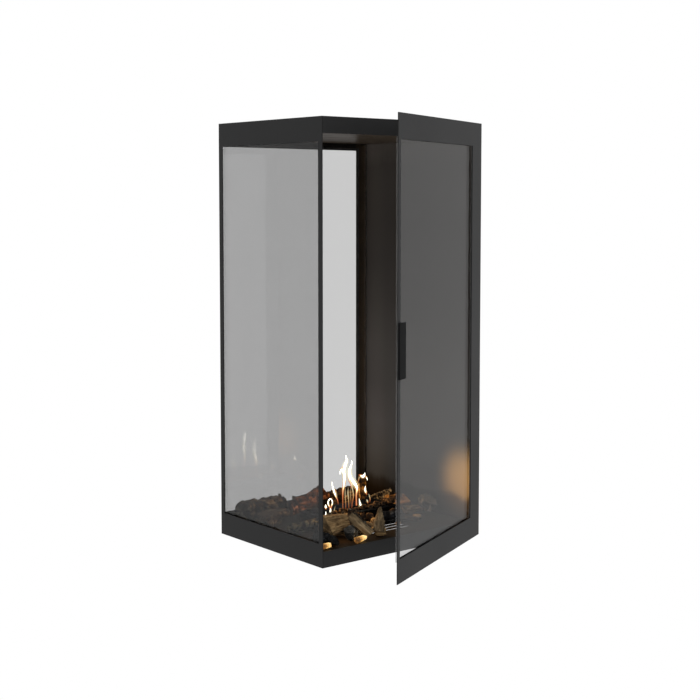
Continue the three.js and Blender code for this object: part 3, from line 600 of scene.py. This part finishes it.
def painted_ceramic(name, bark, wood, ends, furrow, gloss=0.86, index=1.3, sooty=0.5):
    """Hand-painted ceramic: mottled bark, long wood fibres on the splits, year rings on the ends, darker
    furrows by their depth, partly the paint's wash and partly painted shade, and sooty patches. Patterns
    follow the log by its own lengthwise coordinates."""
    material, tree, _ = new_finish(name)
    own = attribute(tree, "own", "Vector")
    drawn = squeezed(tree, own, (0.4, 1.0, 1.0))
    mottle = speckle(tree, drawn, 70.0, 6.0, 0.65, 0.5)
    fine = speckle(tree, drawn, 210.0, 4.0, 0.7)
    fibre = speckle(tree, squeezed(tree, own, (0.05, 1.0, 1.0)), 340.0, 6.0, 0.7)
    heart = squeezed(tree, own, (0.0, 1.0, 1.0))
    out = add(tree, "VectorMath", [(0, heart)], operation="LENGTH").outputs["Value"]
    out = times(tree, speckle(tree, own, 26.0, 3.0), 0.012, out)
    rings = add(tree, "Math", [(0, times(tree, out, 1500.0))], operation="SINE").outputs[0]
    shades = tint(tree, spread(tree, times(tree, mottle, 1.0, fine), 0, 1, 0.78, 1.24), ramp(bark))
    split_face = tint(tree, spread(tree, fibre, 0, 1, 0.34, 0.64), ramp(wood))
    end_face = tint(tree, spread(tree, rings, 0, 1, -1, 1), ramp(ends))
    shades = blend(tree, attribute(tree, "split"), shades, split_face)
    shades = blend(tree, attribute(tree, "cut_end"), shades, end_face)
    # Darker in the furrows by their depth: partly the paint's dark wash, partly painted shade.
    furrow_wash_and_shade = spread(tree, attribute(tree, "sunk"), 1.0, furrow, 0.2, 0.85)
    soot = spread(tree, speckle(tree, drawn, 52.0, 3.0, 0.6, 0.6), sooty, 1.12, 0.4, 0.56)
    close_finish(tree, [
        ("Base Color", scaled(tree, shades, times(tree, furrow_wash_and_shade, soot))),
        ("Roughness", spread(tree, mottle, gloss - 0.08, gloss + 0.1, 0.3, 0.7)),
        ("IOR", index),
        ("Normal", relief(tree, fibre, 0.0004, relief(tree, mottle, 0.0009))),
    ])
    return material


# Each paint: its finish, the tones of bark, split wood and ends, how dark its furrows are, and where they
# differ from most, its gloss, index and how dark its sooty patches are.
LOG_PAINTS = (
    ("dark", "dark_bark", ((0.01, 0.007, 0.0045), 0.5, (0.06, 0.041, 0.025), (0.24, 0.17, 0.104)),
     ((0.016, 0.011, 0.007), (0.085, 0.063, 0.042)), ((0.04, 0.029, 0.019), (0.12, 0.088, 0.058)), 0.1),
    ("red", "red_bark", ((0.018, 0.008, 0.005), 0.5, (0.1, 0.043, 0.024), (0.27, 0.125, 0.072)),
     ((0.08, 0.033, 0.017), (0.24, 0.108, 0.062)), ((0.07, 0.034, 0.02), (0.16, 0.08, 0.048)), 0.12),
    ("olive", "olive_bark", ((0.02, 0.017, 0.01), 0.5, (0.1, 0.082, 0.043), (0.24, 0.195, 0.105)),
     ((0.09, 0.071, 0.036), 0.6, (0.2, 0.162, 0.087), (0.32, 0.265, 0.145)),
     ((0.1, 0.08, 0.042), (0.2, 0.163, 0.093)), 0.16),
    ("brown", "brown_wood", ((0.012, 0.009, 0.005), 0.5, (0.07, 0.05, 0.028), (0.24, 0.175, 0.095)),
     ((0.085, 0.05, 0.022), 0.5, (0.28, 0.178, 0.082), (0.5, 0.34, 0.165)),
     ((0.1, 0.064, 0.03), (0.27, 0.18, 0.09)), 0.4),
    ("umber", "umber_wood", ((0.008, 0.007, 0.005), 0.5, (0.034, 0.03, 0.022), (0.13, 0.115, 0.08)),
     ((0.045, 0.029, 0.015), 0.5, (0.16, 0.112, 0.06), (0.33, 0.24, 0.13)),
     ((0.06, 0.04, 0.022), (0.2, 0.14, 0.078)), 0.35),
    # amber: a more orange copy of the brown wood, which paints the firelight on the glowing log.
    ("amber", "amber_wood", ((0.01, 0.006, 0.003), 0.5, (0.09, 0.045, 0.015), (0.3, 0.16, 0.055)),
     ((0.06, 0.027, 0.007), 0.5, (0.26, 0.125, 0.036), (0.52, 0.28, 0.09)),
     ((0.1, 0.05, 0.016), (0.28, 0.15, 0.052)), 0.35),
    ("grey", "grey_bark", ((0.012, 0.009, 0.0065), 0.45, (0.072, 0.059, 0.042), (0.235, 0.2, 0.145)),
     ((0.07, 0.052, 0.034), (0.18, 0.142, 0.094)), ((0.07, 0.054, 0.036), (0.17, 0.135, 0.09)), 0.1),
    # char: its lightest tone, bluish grey, is partly its own colour and partly painted sheen.
    ("char", "charcoal", ((0.001, 0.001, 0.0012), 0.6, (0.008, 0.009, 0.011), (0.06, 0.067, 0.08)),
     ((0.003, 0.003, 0.0035), (0.018, 0.018, 0.019)),
     ((0.004, 0.004, 0.004), (0.016, 0.015, 0.014)), 0.1, 0.6, 1.22),
    ("ash", "ashy_charcoal", ((0.012, 0.012, 0.011), 0.5, (0.14, 0.135, 0.12), (0.46, 0.45, 0.41)),
     ((0.02, 0.02, 0.019), (0.17, 0.163, 0.147)),
     ((0.024, 0.024, 0.022), (0.15, 0.142, 0.127)), 0.12, 0.7, 1.25),
    ("cinder", "brown_cinder", ((0.003, 0.002, 0.0015), 0.5, (0.035, 0.022, 0.0135), (0.18, 0.115, 0.066)),
     ((0.006, 0.0045, 0.003), (0.05, 0.034, 0.02)),
     ((0.006, 0.0045, 0.003), (0.04, 0.028, 0.016)), 0.1, 0.75, 1.22),
    ("scorched", "scorched_bark", ((0.003, 0.002, 0.0015), 0.5, (0.05, 0.027, 0.009), (0.42, 0.235, 0.08)),
     ((0.01, 0.006, 0.003), (0.1, 0.058, 0.022)),
     ((0.01, 0.006, 0.003), (0.06, 0.036, 0.015)), 0.1, 0.86, 1.3, 0.25),
)
log_paints = {paint: painted_ceramic(*looks) for paint, *looks in LOG_PAINTS}

# Each log: its paint, heading and pitch in degrees, length and girth in shares of a full-sized log, taper,
# splits (degrees round it, how far out the flat lies) and phase.
LOGS = (
    ("log_rear_left", "dark", -1, 0, 1.5, 0.92, -0.06, [], 0.4),
    ("log_rear_middle", "dark", -2, 0, 2.45, 0.78, -0.16, [], 1.9),
    ("log_left_middle", "dark", 24, 0, 1.25, 0.84, 0.16, [[100, 0.6]], 3.1),
    ("log_left_pale", "olive", 3, 0, 0.9, 0.62, 0.1, [[60, 0.5]], 4.2),
    ("log_stump", "brown", 3, 0, 0.9, 1.08, 0.2, [[160, 0.62], [20, 0.7]], 5.3),
    ("log_front_char", "char", -84, 0, 0.8, 0.62, 0.3, [], 0.9),
    ("log_middle_char", "ash", 30, 0, 0.5, 0.64, 0.2, [], 2.4),
    ("log_right_char", "char", -20, 0, 0.54, 0.66, 0.1, [], 3.7),
    ("log_glowing", "amber", 5, 0, 0.8, 0.87, 0.1, [[130, 0.6]], 1.2),
    ("log_right_rear", "dark", 80, 0, 0.56, 0.5, 0.1, [], 5.9),
    ("log_right_pale", "brown", -14, 0, 0.7, 0.5, 0.14, [[70, 0.55]], 4.8),
    ("log_right_end", "grey", 78, 0, 0.44, 0.76, 0.06, [], 2.9),
    ("log_right_chip", "dark", -50, 0, 0.5, 0.38, 0.3, [[80, 0.6]], 1.1),
    ("log_left_red", "red", 4, 14, 1.36, 0.82, 0.1, [[250, 0.7]], 2.7),
    ("log_upright_char", "scorched", 60, 72, 1, 0.5, 0.2, [], 0.2),
    ("log_split", "umber", 50, 78, 0.7, 0.62, 0.55, [[200, 0.5], [320, 0.55]], 2.2),
    ("log_diagonal", "umber", -52, -40, 0.74, 0.5, 0.1, [[90, 0.7]], 4.0),
    ("log_bark_right", "grey", -14, 16, 0.72, 0.44, 0.14, [], 5.1),
)
# What the photo shows of single logs: how much stouter they are than their solids, how squared, and
# where the split ones keep their bark.
SWELLS = {"log_split": (1.2, 1.35, 0.7), "log_diagonal": (1.1, 1.2, 1.25), "log_bark_right": (1.15,) * 3,
          "log_rear_left": (1.1, 1.12, 1.16), "log_rear_middle": (1.05,) * 3}
SQUARED = {"log_rear_left": 0.09, "log_rear_middle": 0.05}
BARK_AT = {"log_split": 200, "log_diagonal": 68, "log_stump": 42}
SPLIT_WOOD = ("brown", "umber", "amber")
for number, (name, paint, *form) in enumerate(LOGS):
    charred = name.endswith("char")
    relief_of = char_relief if charred else wood_relief if paint in SPLIT_WOOD else bark_relief
    log = cast_log(name, *form, relief_of, seed=31 * number, swell=SWELLS.get(name, (1, 1, 1)),
                   squared=SQUARED.get(name, 0.0), bark_at=BARK_AT.get(name, 90))
    log.data.materials.append(log_paints[paint])


# --------------------------------------------------
# Loose lumps
# A handful of broken charcoal lumps and wood chips of the same cast ceramic, strewn by hand where the
# logs leave gaps: some on the floor before the burner, some on the burner's top plate.
# --------------------------------------------------

def loose_lump(name, x, y, level, breadth, depth, height, heading, wood, seed, rings=22, sides=30):
    """A squarish ball: each direction's cosines drawn towards the corners, dented by two lattices, then
    stretched to its breadth, depth and height, turned, and let down to rest on its level. wood is true
    for a chip of split wood."""
    rise = np.linspace(0, np.pi, rings + 2)[1:-1, None]
    angle = np.linspace(0, 2 * np.pi, sides, endpoint=False)[None, :]
    turn, up = np.broadcast_arrays(angle / (2 * np.pi), rise / np.pi)
    dent = 1 + 0.14 * eased_lattice(turn, up, 5, 4, seed) + 0.09 * eased_lattice(turn, up, 12, 8, seed + 1)

    def squared(value):
        """A cosine drawn towards -1 or 1."""
        return np.sign(value) * np.abs(value) ** 0.72

    flat = squared(np.sin(rise))
    ball = np.stack([dent * flat * squared(np.cos(angle)), dent * flat * squared(np.sin(angle)),
                     dent * squared(np.cos(rise))], axis=-1)
    tips = np.array([[0, 0, dent[0].mean()], [0, 0, -dent[-1].mean()]])
    half = np.array([breadth, depth, height]) / 2000
    own = ball * half
    low = np.array([x, y, level]) / 1000 - np.array([0, 0, own[..., 2].min()])
    skin, ends = (turned(*np.moveaxis(points, -1, 0), heading, 0) + low for points in (own, tips * half))
    values = {"own": own, "sunk": np.clip((1.05 - dent) / 0.3, 0, 1), "split": wood + 0 * dent,
              "cut_end": 0 * dent}
    return closed_skin(name, skin[::-1], ends[::-1], {title: value[::-1] for title, value in values.items()})


def joined(pieces, name):
    """Several meshes made one piece under that name."""
    with bpy.context.temp_override(active_object=pieces[0], selected_editable_objects=pieces):
        bpy.ops.object.join()
    pieces[0].name = name
    return pieces[0]


# Each lump: x, y and the level it rests on, then breadth, depth, height and heading, in mm and degrees.
CHAR_LUMPS = (
    (-66, -77, 42, 27, 22, 38, 20), (-40, -79, 42, 26, 24, 43, -30), (-13, -77, 42, 26, 22, 38, 50),
    (13, -80, 42, 24, 24, 33, -15), (-42, -104, 42, 26, 22, 22, 10), (-84, -96, 42, 24, 20, 18, 40),
    (104, -80, 42, 26, 22, 34, 15), (122, -76, 42, 22, 20, 26, -30),
    (-100, -50, 82.1, 22, 13, 12, 8), (-72, -50, 82.1, 20, 13, 15, -6), (-44, -50, 82.1, 24, 13, 12, 5),
    (-16, -50, 82.1, 22, 13, 10, -4), (12, -50, 82.1, 24, 13, 14, 6), (38, -50, 82.1, 22, 13, 11, 0),
    (64, -50, 82.1, 26, 13, 17, -8), (90, -50, 82.1, 22, 13, 13, 4),
    (129, -40, 82.1, 28, 28, 18, 30), (131, -12, 82.1, 24, 22, 11, 0), (-110, -146, 98, 27, 25, 21, 15),
)
WOOD_CHIPS = (
    (-22, -108, 42, 36, 15, 18, -25), (4, -104, 42, 27, 14, 24, 35), (-52, -124, 42, 24, 12, 12, 60),
    (74, -140, 42, 20, 11, 10, 10), (176, -110, 42, 26, 13, 12, -40), (-42, -157, 42, 32, 16, 13, 22),
    (-72, -148, 42, 26, 15, 15, -20), (-31, -164, 42, 24, 13, 9, -12), (-55, -207, 42, 36, 16, 25, -39),
)
for name, rows, paint, slot in (("char_lumps", CHAR_LUMPS, "cinder", "char"),
                                ("wood_chips", WOOD_CHIPS, "brown", "bark")):
    lumps = joined([loose_lump(f"{name}_{k}", *row, wood=slot == "bark", seed=700 + 5 * k)
                    for k, row in enumerate(rows)], name)
    lumps.data.materials.append(log_paints[paint])
    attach(lumps, "cabinet")


# --------------------------------------------------
# Embers
# Two small ceramic chips at the front, where the fire's light falls on them: pale ochre paint, and that
# light painted in as a glow that brightens towards one end, with painted shade in their furrows.
# --------------------------------------------------

def ember_firelight_glaze(name, dim_end, bright_end):
    """Ochre glaze with painted firelight: its colour and a glow brighten from a dull orange at one end of the
    chip to a pale yellow at the other, in soft patches, and darken in the furrows as painted shade."""
    material, tree, _ = new_finish(name)
    own = attribute(tree, "own", "Vector")
    length = add(tree, "SeparateXYZ", [(0, own)]).outputs["X"]
    patch = speckle(tree, own, 90.0, 3.0, 0.5, 0.3)
    # Painted firelight: brightest towards bright_end along the chip, and dimmer in the furrows as painted
    # shade.
    patchy = times(tree, patch, 0.7, spread(tree, length, 0.0, 1.0, dim_end, bright_end))
    lit = times(tree, patchy, spread(tree, attribute(tree, "sunk"), 1.0, 0.6, 0.3, 1.0))
    glow = tint(tree, spread(tree, lit, 0, 1, 0.2, 1.3), [
        (0.0, (0.012, 0.005, 0.001)), (0.3, (0.2, 0.08, 0.015)), (0.55, (0.7, 0.37, 0.09)),
        (1.0, (1.25, 0.88, 0.38))])
    close_finish(tree, [
        ("Base Color", tint(tree, lit, [(0.2, (0.03, 0.016, 0.008)), (0.9, (0.3, 0.19, 0.08))])),
        ("Roughness", spread(tree, patch, 0.7, 0.95, 0.3, 0.7)),
        ("Emission Color", glow),
        ("Emission Strength", 1.05),
        ("Normal", relief(tree, patch, 0.0006)),
    ])
    return material


ember_paint = ember_firelight_glaze("ember_firelight_glaze", -0.022, 0.016)
EMBERS = (
    ("ember_left", 10, 0, 0.3, 0.32, 0.3, [[90, 0.6]], 1.4),
    ("ember_middle", 12, 0, 0.38, 0.36, 0.3, [[80, 0.6]], 3.3),
)
for number, (name, *form) in enumerate(EMBERS):
    ember = cast_log(name, *form, char_relief, seed=900 + 31 * number, rings=48, sides=60)
    ember.data.materials.append(ember_paint)


# --------------------------------------------------
# Flames
# Burning alcohol vapour over the trough: slender tongues that taper and curl, pale yellow above and red
# at their feet. Each is a pair of closed skins, one in the other, so it looks soft from every side.
# --------------------------------------------------

# The upright plane that every flame is drawn in, square to the photo's line of sight.
FLAMES_FACE = math.radians(-39.1557)
FLAME_RIGHT = np.array([math.cos(FLAMES_FACE), math.sin(FLAMES_FACE), 0.0])
FLAME_AWAY = np.array([-FLAME_RIGHT[1], FLAME_RIGHT[0], 0.0])
# Each skin: its share of the flame's width, and how far inward it counts. The lowest ring clears the
# snuffer plate, which slides over the trough below it.
FLAME_SKINS = ((1.35, 0.22), (0.42, 1.0))
FIRST_RING, LEAST_WIDTH, FLATNESS = 0.0832, 0.0004, 0.7
# Each flame: its name, its foot (x, y) in millimetres, how brightly it burns, and (lean to the right,
# height, width) up its middle.
FLAMES = (
    ("tall_left", (-40, -20), 1, [(-2.1, 89, 1.6), (-2.4, 113, 2.4), (-2.4, 128, 3.8), (-1.8, 143, 5.6),
     (0.9, 158, 6.6), (2.4, 173, 8.4), (2.7, 188, 10.4), (0.9, 200, 12), (2.4, 212, 13.4), (6, 224, 12),
     (9.9, 235, 8.4), (8.1, 242, 5), (6.9, 250, 0.9)]),
    ("tall_left_lobe", (-40, -20), 0.8, [(0.6, 217, 3.6), (-3, 211, 6.6), (-7.2, 205, 7.2),
     (-10.2, 198, 5.4), (-10.8, 191, 0.9)]),
    ("tall_right", (-5, -10), 1, [(18.2, 64, 2.1), (18.5, 76, 6), (17.9, 98, 4.2), (17.6, 122, 4.5),
     (19.7, 137, 7.8), (18.8, 146, 12.7), (14, 156, 14.5), (7.4, 165, 13.9), (2, 174, 10.9),
     (-1.7, 185, 11.5), (-3.2, 197, 11.5), (-0.2, 206, 9), (3.5, 217, 4.2), (3.8, 228, 0.9)]),
    ("inner_branch", (-15, -15), 0.5, [(8.3, 82, 1.5), (11.4, 106, 2.4), (13.5, 124, 2.7), (9.8, 148, 3.4),
     (5.3, 168, 3.4), (4.7, 178, 1.2)]),
    ("tall_right_veil", (-5, -12), 0.75, [(1.5, 142, 1.2), (0.6, 152, 5), (-1.2, 162, 8), (-3.2, 172, 11),
     (-4.2, 184, 12), (-3.8, 196, 10), (-1, 207, 6), (2, 218, 0.9)]),
    ("crest", (110, 60), 1, [(-19.3, 157, 1.6), (-14.3, 156, 5.6), (-7.4, 152, 8.7), (-1.9, 156, 7.5),
     (-0.3, 164, 0.9)]),
    ("crest_tail", (110, 60), 0.8, [(-4.3, 154, 4.4), (3.7, 151, 4.7), (6.9, 144, 2.8), (8.1, 139, 0.6)]),
    ("crest_root", (105, 58), 0.3, [(-19.5, 133, 1.9), (-17.3, 143, 3.7), (-14.2, 150, 3.7),
     (-9.2, 154, 1.9)]),
    ("left", (-80, -25), 0.85, [(12, 107, 1.2), (10.2, 119, 2.7), (5.4, 130, 3.9), (1.3, 141, 5.9),
     (-2.3, 153, 6.2), (-5, 163, 3.9), (-6.8, 176, 0.9)]),
    ("left_shoulder", (-75, -25), 0.4, [(-3.2, 155, 1.2), (0.3, 147, 3.6), (3, 137, 2.4), (5.1, 127, 0.9)]),
    ("ring_left", (-130, -30), 1, [(24.9, 97, 4.7), (23.7, 105, 4.7), (19.9, 112, 4.1), (18.1, 119, 3.8),
     (19.6, 127, 3.5), (24.3, 132, 2.7), (27.3, 131, 1.2)]),
    ("ring_right", (-130, -30), 0.85, [(25.2, 100, 3.5), (27.6, 109, 3.5), (30.5, 118, 2.9),
     (29.9, 126, 2.9), (26.4, 131, 2.1)]),
    ("ring_stem", (-130, -30), 0.9, [(9.6, 65, 1.2), (14.9, 72, 2.9), (20.2, 79, 2.7), (23.2, 87, 3.5),
     (24.9, 96, 5), (24.9, 104, 3.5)]),
    ("ring_stem_right", (-130, -30), 0.5, [(35.5, 70, 1.2), (32.3, 74, 2.9), (29.3, 82, 2.4),
     (26.4, 92, 2.9), (25.2, 99, 1.5)]),
    ("loop_right", (-120, -30), 0.35, [(26.8, 71, 1.5), (26.8, 85, 2.4), (28.6, 97, 2.4),
     (31.5, 109, 0.9)]),
    ("small_left", (-150, -30), 0.9, [(23.6, 65, 1.2), (25.3, 71, 5.9), (27.4, 79, 5.3), (26.8, 88, 3.2),
     (27.1, 97, 1.2)]),
    ("spark_left", (-150, -30), 1, [(27.4, 102, 1.2), (26.8, 110, 5.9), (26.2, 117, 1.2)]),
    ("strand_1", (-50, -20), 0.3, [(13.5, 73, 1.2), (14.4, 97, 2.4), (13.2, 118, 2.7), (12.6, 139, 2.7),
     (12.9, 153, 0.9)]),
    ("strand_2", (-30, -20), 0.35, [(8.7, 71, 1.2), (8.1, 94, 2.4), (7.2, 115, 3), (5.4, 133, 3.9),
     (6.3, 150, 0.9)]),
    ("strand_3", (-22, -18), 0.22, [(12.2, 80, 1.2), (9.5, 107, 2.1), (8.3, 131, 2.1), (9.2, 151, 0.9)]),
    ("right_low", (15, -10), 0.75, [(25.8, 63, 1.2), (23.4, 69, 4.8), (19.7, 78, 5.4), (15.8, 87, 7.3),
     (12.5, 98, 4.5), (11, 109, 0.9)]),
    ("right_low_back", (12, -8), 0.3, [(14.2, 66, 1.2), (13.6, 78, 2.7), (15.1, 92, 3), (16.4, 101, 1.2)]),
    ("right_high", (60, 0), 0.8, [(6.7, 112, 1.2), (3.1, 119, 6.1), (0.9, 129, 5.5), (1.9, 140, 0.9)]),
    ("right_thin", (75, 5), 0.45, [(7, 85, 1.2), (7.6, 97, 3.1), (5.2, 106, 2.4), (3.3, 112, 0.9)]),
    ("right_spark", (68, 3), 0.5, [(5.6, 82, 1.2), (3.4, 90, 4.9), (1.6, 96, 1.2)]),
)


def eased_curve(stops, steps):
    """A smooth curve through the stops: each span is a cubic that passes its stops along the chord of the
    two beside them."""
    stops = np.array(stops, float)
    padded = np.concatenate([2 * stops[:1] - stops[1:2], stops, 2 * stops[-1:] - stops[-2:-1]])
    t = np.linspace(0, len(stops) - 1, steps)
    span = np.minimum(t.astype(int), len(stops) - 2)
    f = (t - span)[:, None]
    a, b, c, d = (padded[span + k] for k in range(4))
    square, cube = 2 * a - 5 * b + 4 * c - d, 3 * b - a - 3 * c + d
    return 0.5 * (2 * b + (c - a) * f + square * f ** 2 + cube * f ** 3)


def flame_skins(name, foot, power, stops, steps=40, sides=16):
    """Closed tubes carried up one curve: rings square to the curve, as wide as the flame there in the
    upright plane and FLATNESS of that across it."""
    path = eased_curve(stops, steps) / 1000
    above = path[:, 1] > FIRST_RING
    path, climbed = path[above], np.linspace(0, 1, steps)[above]
    origin = np.array([foot[0] / 1000, foot[1] / 1000, 0])
    centre = origin + path[:, :1] * FLAME_RIGHT + path[:, 1:2] * np.array([0, 0, 1.0])
    along = np.gradient(centre, axis=0)
    along /= np.linalg.norm(along, axis=1)[:, None]
    breadth = np.cross(along, FLAME_AWAY)
    angle = np.linspace(0, 2 * np.pi, sides, endpoint=False)
    half = np.maximum(path[:, 2], LEAST_WIDTH)[:, None, None] / 2
    across, through = np.cos(angle)[None, :, None], FLATNESS * np.sin(angle)[None, :, None]
    ring = across * breadth[:, None, :] + through * FLAME_AWAY
    rise = np.broadcast_to(climbed[:, None], (len(path), sides))
    return [closed_skin(f"flame_{name}_{skin}", centre[:, None, :] + half * share * ring, centre[[0, -1]],
                        {"rise": rise, "inward": inward + 0 * rise, "power": power + 0 * rise})
            for skin, (share, inward) in enumerate(FLAME_SKINS)]


def burning_vapour(name):
    """Light without substance: each skin adds its own glow, faint at the outermost and strong inside,
    from red at the feet over orange to a pale yellow higher up and further in, thinner at both ends."""
    material, tree, _ = new_finish(name)
    inward, rise, power = (attribute(tree, title) for title in ("inward", "rise", "power"))
    paler = times(tree, inward, 0.36, spread(tree, rise, -0.16, 0.7, 0.15, 0.66))
    paler = times(tree, paler, spread(tree, power, 0.5, 1.0, 0.2, 0.9))
    burning = times(tree, times(tree, inward, power), spread(tree, rise, 0.2, 1.0, 0.1, 0.5))
    bright = tint(tree, burning, [(0.0, (0.0,) * 3), (0.5, (0.04,) * 3), (1.0, (1.0,) * 3)])
    glow = add(tree, "Emission", [
        ("Color", tint(tree, paler, [(0.0, (0.8, 0.16, 0.06)), (0.22, (1.0, 0.42, 0.15)),
                                     (0.45, (1.0, 0.78, 0.38)), (0.65, (1.0, 0.93, 0.64)),
                                     (1.0, (1.0, 0.97, 0.8))])),
        ("Strength", spread(tree, bright, 0.92, 11.0)),
    ]).outputs[0]
    share = times(tree, spread(tree, rise, 0.45, 1.0, 0.0, 0.3), spread(tree, inward, 0.12, 0.85))
    share = times(tree, share, spread(tree, rise, 1.0, 0.5, 0.75, 1.0))
    share = times(tree, share, power)
    clear = add(tree, "BsdfTransparent").outputs[0]
    mixed = add(tree, "MixShader", [(0, share), (1, clear), (2, glow)]).outputs[0]
    add(tree, "OutputMaterial", [("Surface", mixed)])
    material.cycles.emission_sampling = "NONE"
    return material


flames = joined([skin for flame in FLAMES for skin in flame_skins(*flame)], "flames")
flames.data.materials.append(burning_vapour("burning_vapour"))
flames.visible_diffuse = flames.visible_shadow = False
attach(flames, "cabinet")


def firelight(name, place, watts, size, lit, colour=(1.0, 0.6, 0.22), cone=None):
    """A warm lamp where the flames burn or, given a cone in degrees, a soft beam towards the closed wall.
    It only falls on the pieces lit, and the panes don't mirror it."""
    lamp = bpy.data.lights.new(name, "SPOT" if cone else "POINT")
    lamp.energy, lamp.color, lamp.shadow_soft_size = watts, colour, size
    fire = placed(name, lamp)
    fire.location = place
    if cone:
        lamp.spot_size, lamp.spot_blend = math.radians(cone), 1.0
        fire.rotation_euler = (0, math.radians(-90), 0)
    fire.visible_camera = fire.visible_glossy = False
    falls_on = bpy.data.collections.new(name + "_falls_on")
    for piece in lit:
        falls_on.objects.link(piece)
    fire.light_linking.receiver_collection = falls_on


PILE_NAMES = ("log_", "ember_", "char_", "wood_")
hearth, wall = [node["hearth_floor"]], [node["wall_liner"]]
pile = [piece for piece in bpy.context.scene.objects if piece.name.startswith(PILE_NAMES)] + hearth
firelight("firelight_tall", (-0.03, -0.025, 0.19), 1.0, 0.03, pile)
firelight("firelight_right", (0.03, -0.01, 0.14), 0.6, 0.025, pile)
firelight("firelight_crest", (0.1, 0.03, 0.17), 0.5, 0.02, pile)
firelight("firelight_left", (-0.1, -0.04, 0.13), 0.5, 0.02, pile)
firelight("ember_light", (-0.178, -0.186, 0.075), 0.06, 0.012, hearth, (1.0, 0.5, 0.14))
firelight("firelight_on_wall", (0.078, -0.225, 0.162), 10.5, 0.02, wall, (1.0, 0.57, 0.16), cone=70)


# --------------------------------------------------
# Studio
# A plain white floor that runs out of sight under an even white sky, and the camera where the
# photograph was taken from: just over a metre up, 39 degrees round from the front, tipped 4 degrees down.
# --------------------------------------------------

WHITE = (1.0, 1.0, 1.0, 1.0)


def plain_floor(name, half, cells=8, level=-0.0005):
    """A flat square grid a hair under the feet; it glows as softly as the sky, so nothing shades it."""
    edge = np.linspace(-half, half, cells + 1)
    x, y = np.meshgrid(edge, edge)
    points = np.stack([x, y, np.full_like(x, level)], axis=-1).reshape(-1, 3)
    row, column = np.meshgrid(np.arange(cells), np.arange(cells), indexing="ij")
    here = (row * (cells + 1) + column).ravel()
    faces = np.stack([here, here + 1, here + cells + 2, here + cells + 1], axis=-1)
    mesh = bpy.data.meshes.new(name)
    mesh.from_pydata(points.tolist(), [], faces.tolist())
    material, tree, _ = new_finish("studio_white")
    glow = add(tree, "Emission", [("Color", WHITE), ("Strength", 1.0)]).outputs[0]
    add(tree, "OutputMaterial", [("Surface", glow)])
    mesh.materials.append(material)
    return placed(name, mesh)


plain_floor("studio_floor", 30.0)

world = bpy.data.worlds.new("studio_sky")
world.use_nodes = True
sky = world.node_tree.nodes["Background"]
sky.inputs["Color"].default_value = WHITE
sky.inputs["Strength"].default_value = 1.0
bpy.context.scene.world = world

lens = bpy.data.cameras.new("photo_camera")
lens.sensor_width, lens.lens, lens.shift_y = 36.0, 68.48, -0.0743
lens.clip_start, lens.clip_end = 0.05, 200.0
camera = placed("photo_camera", lens)
camera.location = (-2.51964, -3.0947, 1.0164)
camera.rotation_euler = (math.radians(85.751), 0, math.radians(-39.1655))
bpy.context.scene.camera = camera
bpy.context.scene.view_settings.view_transform = "Standard"
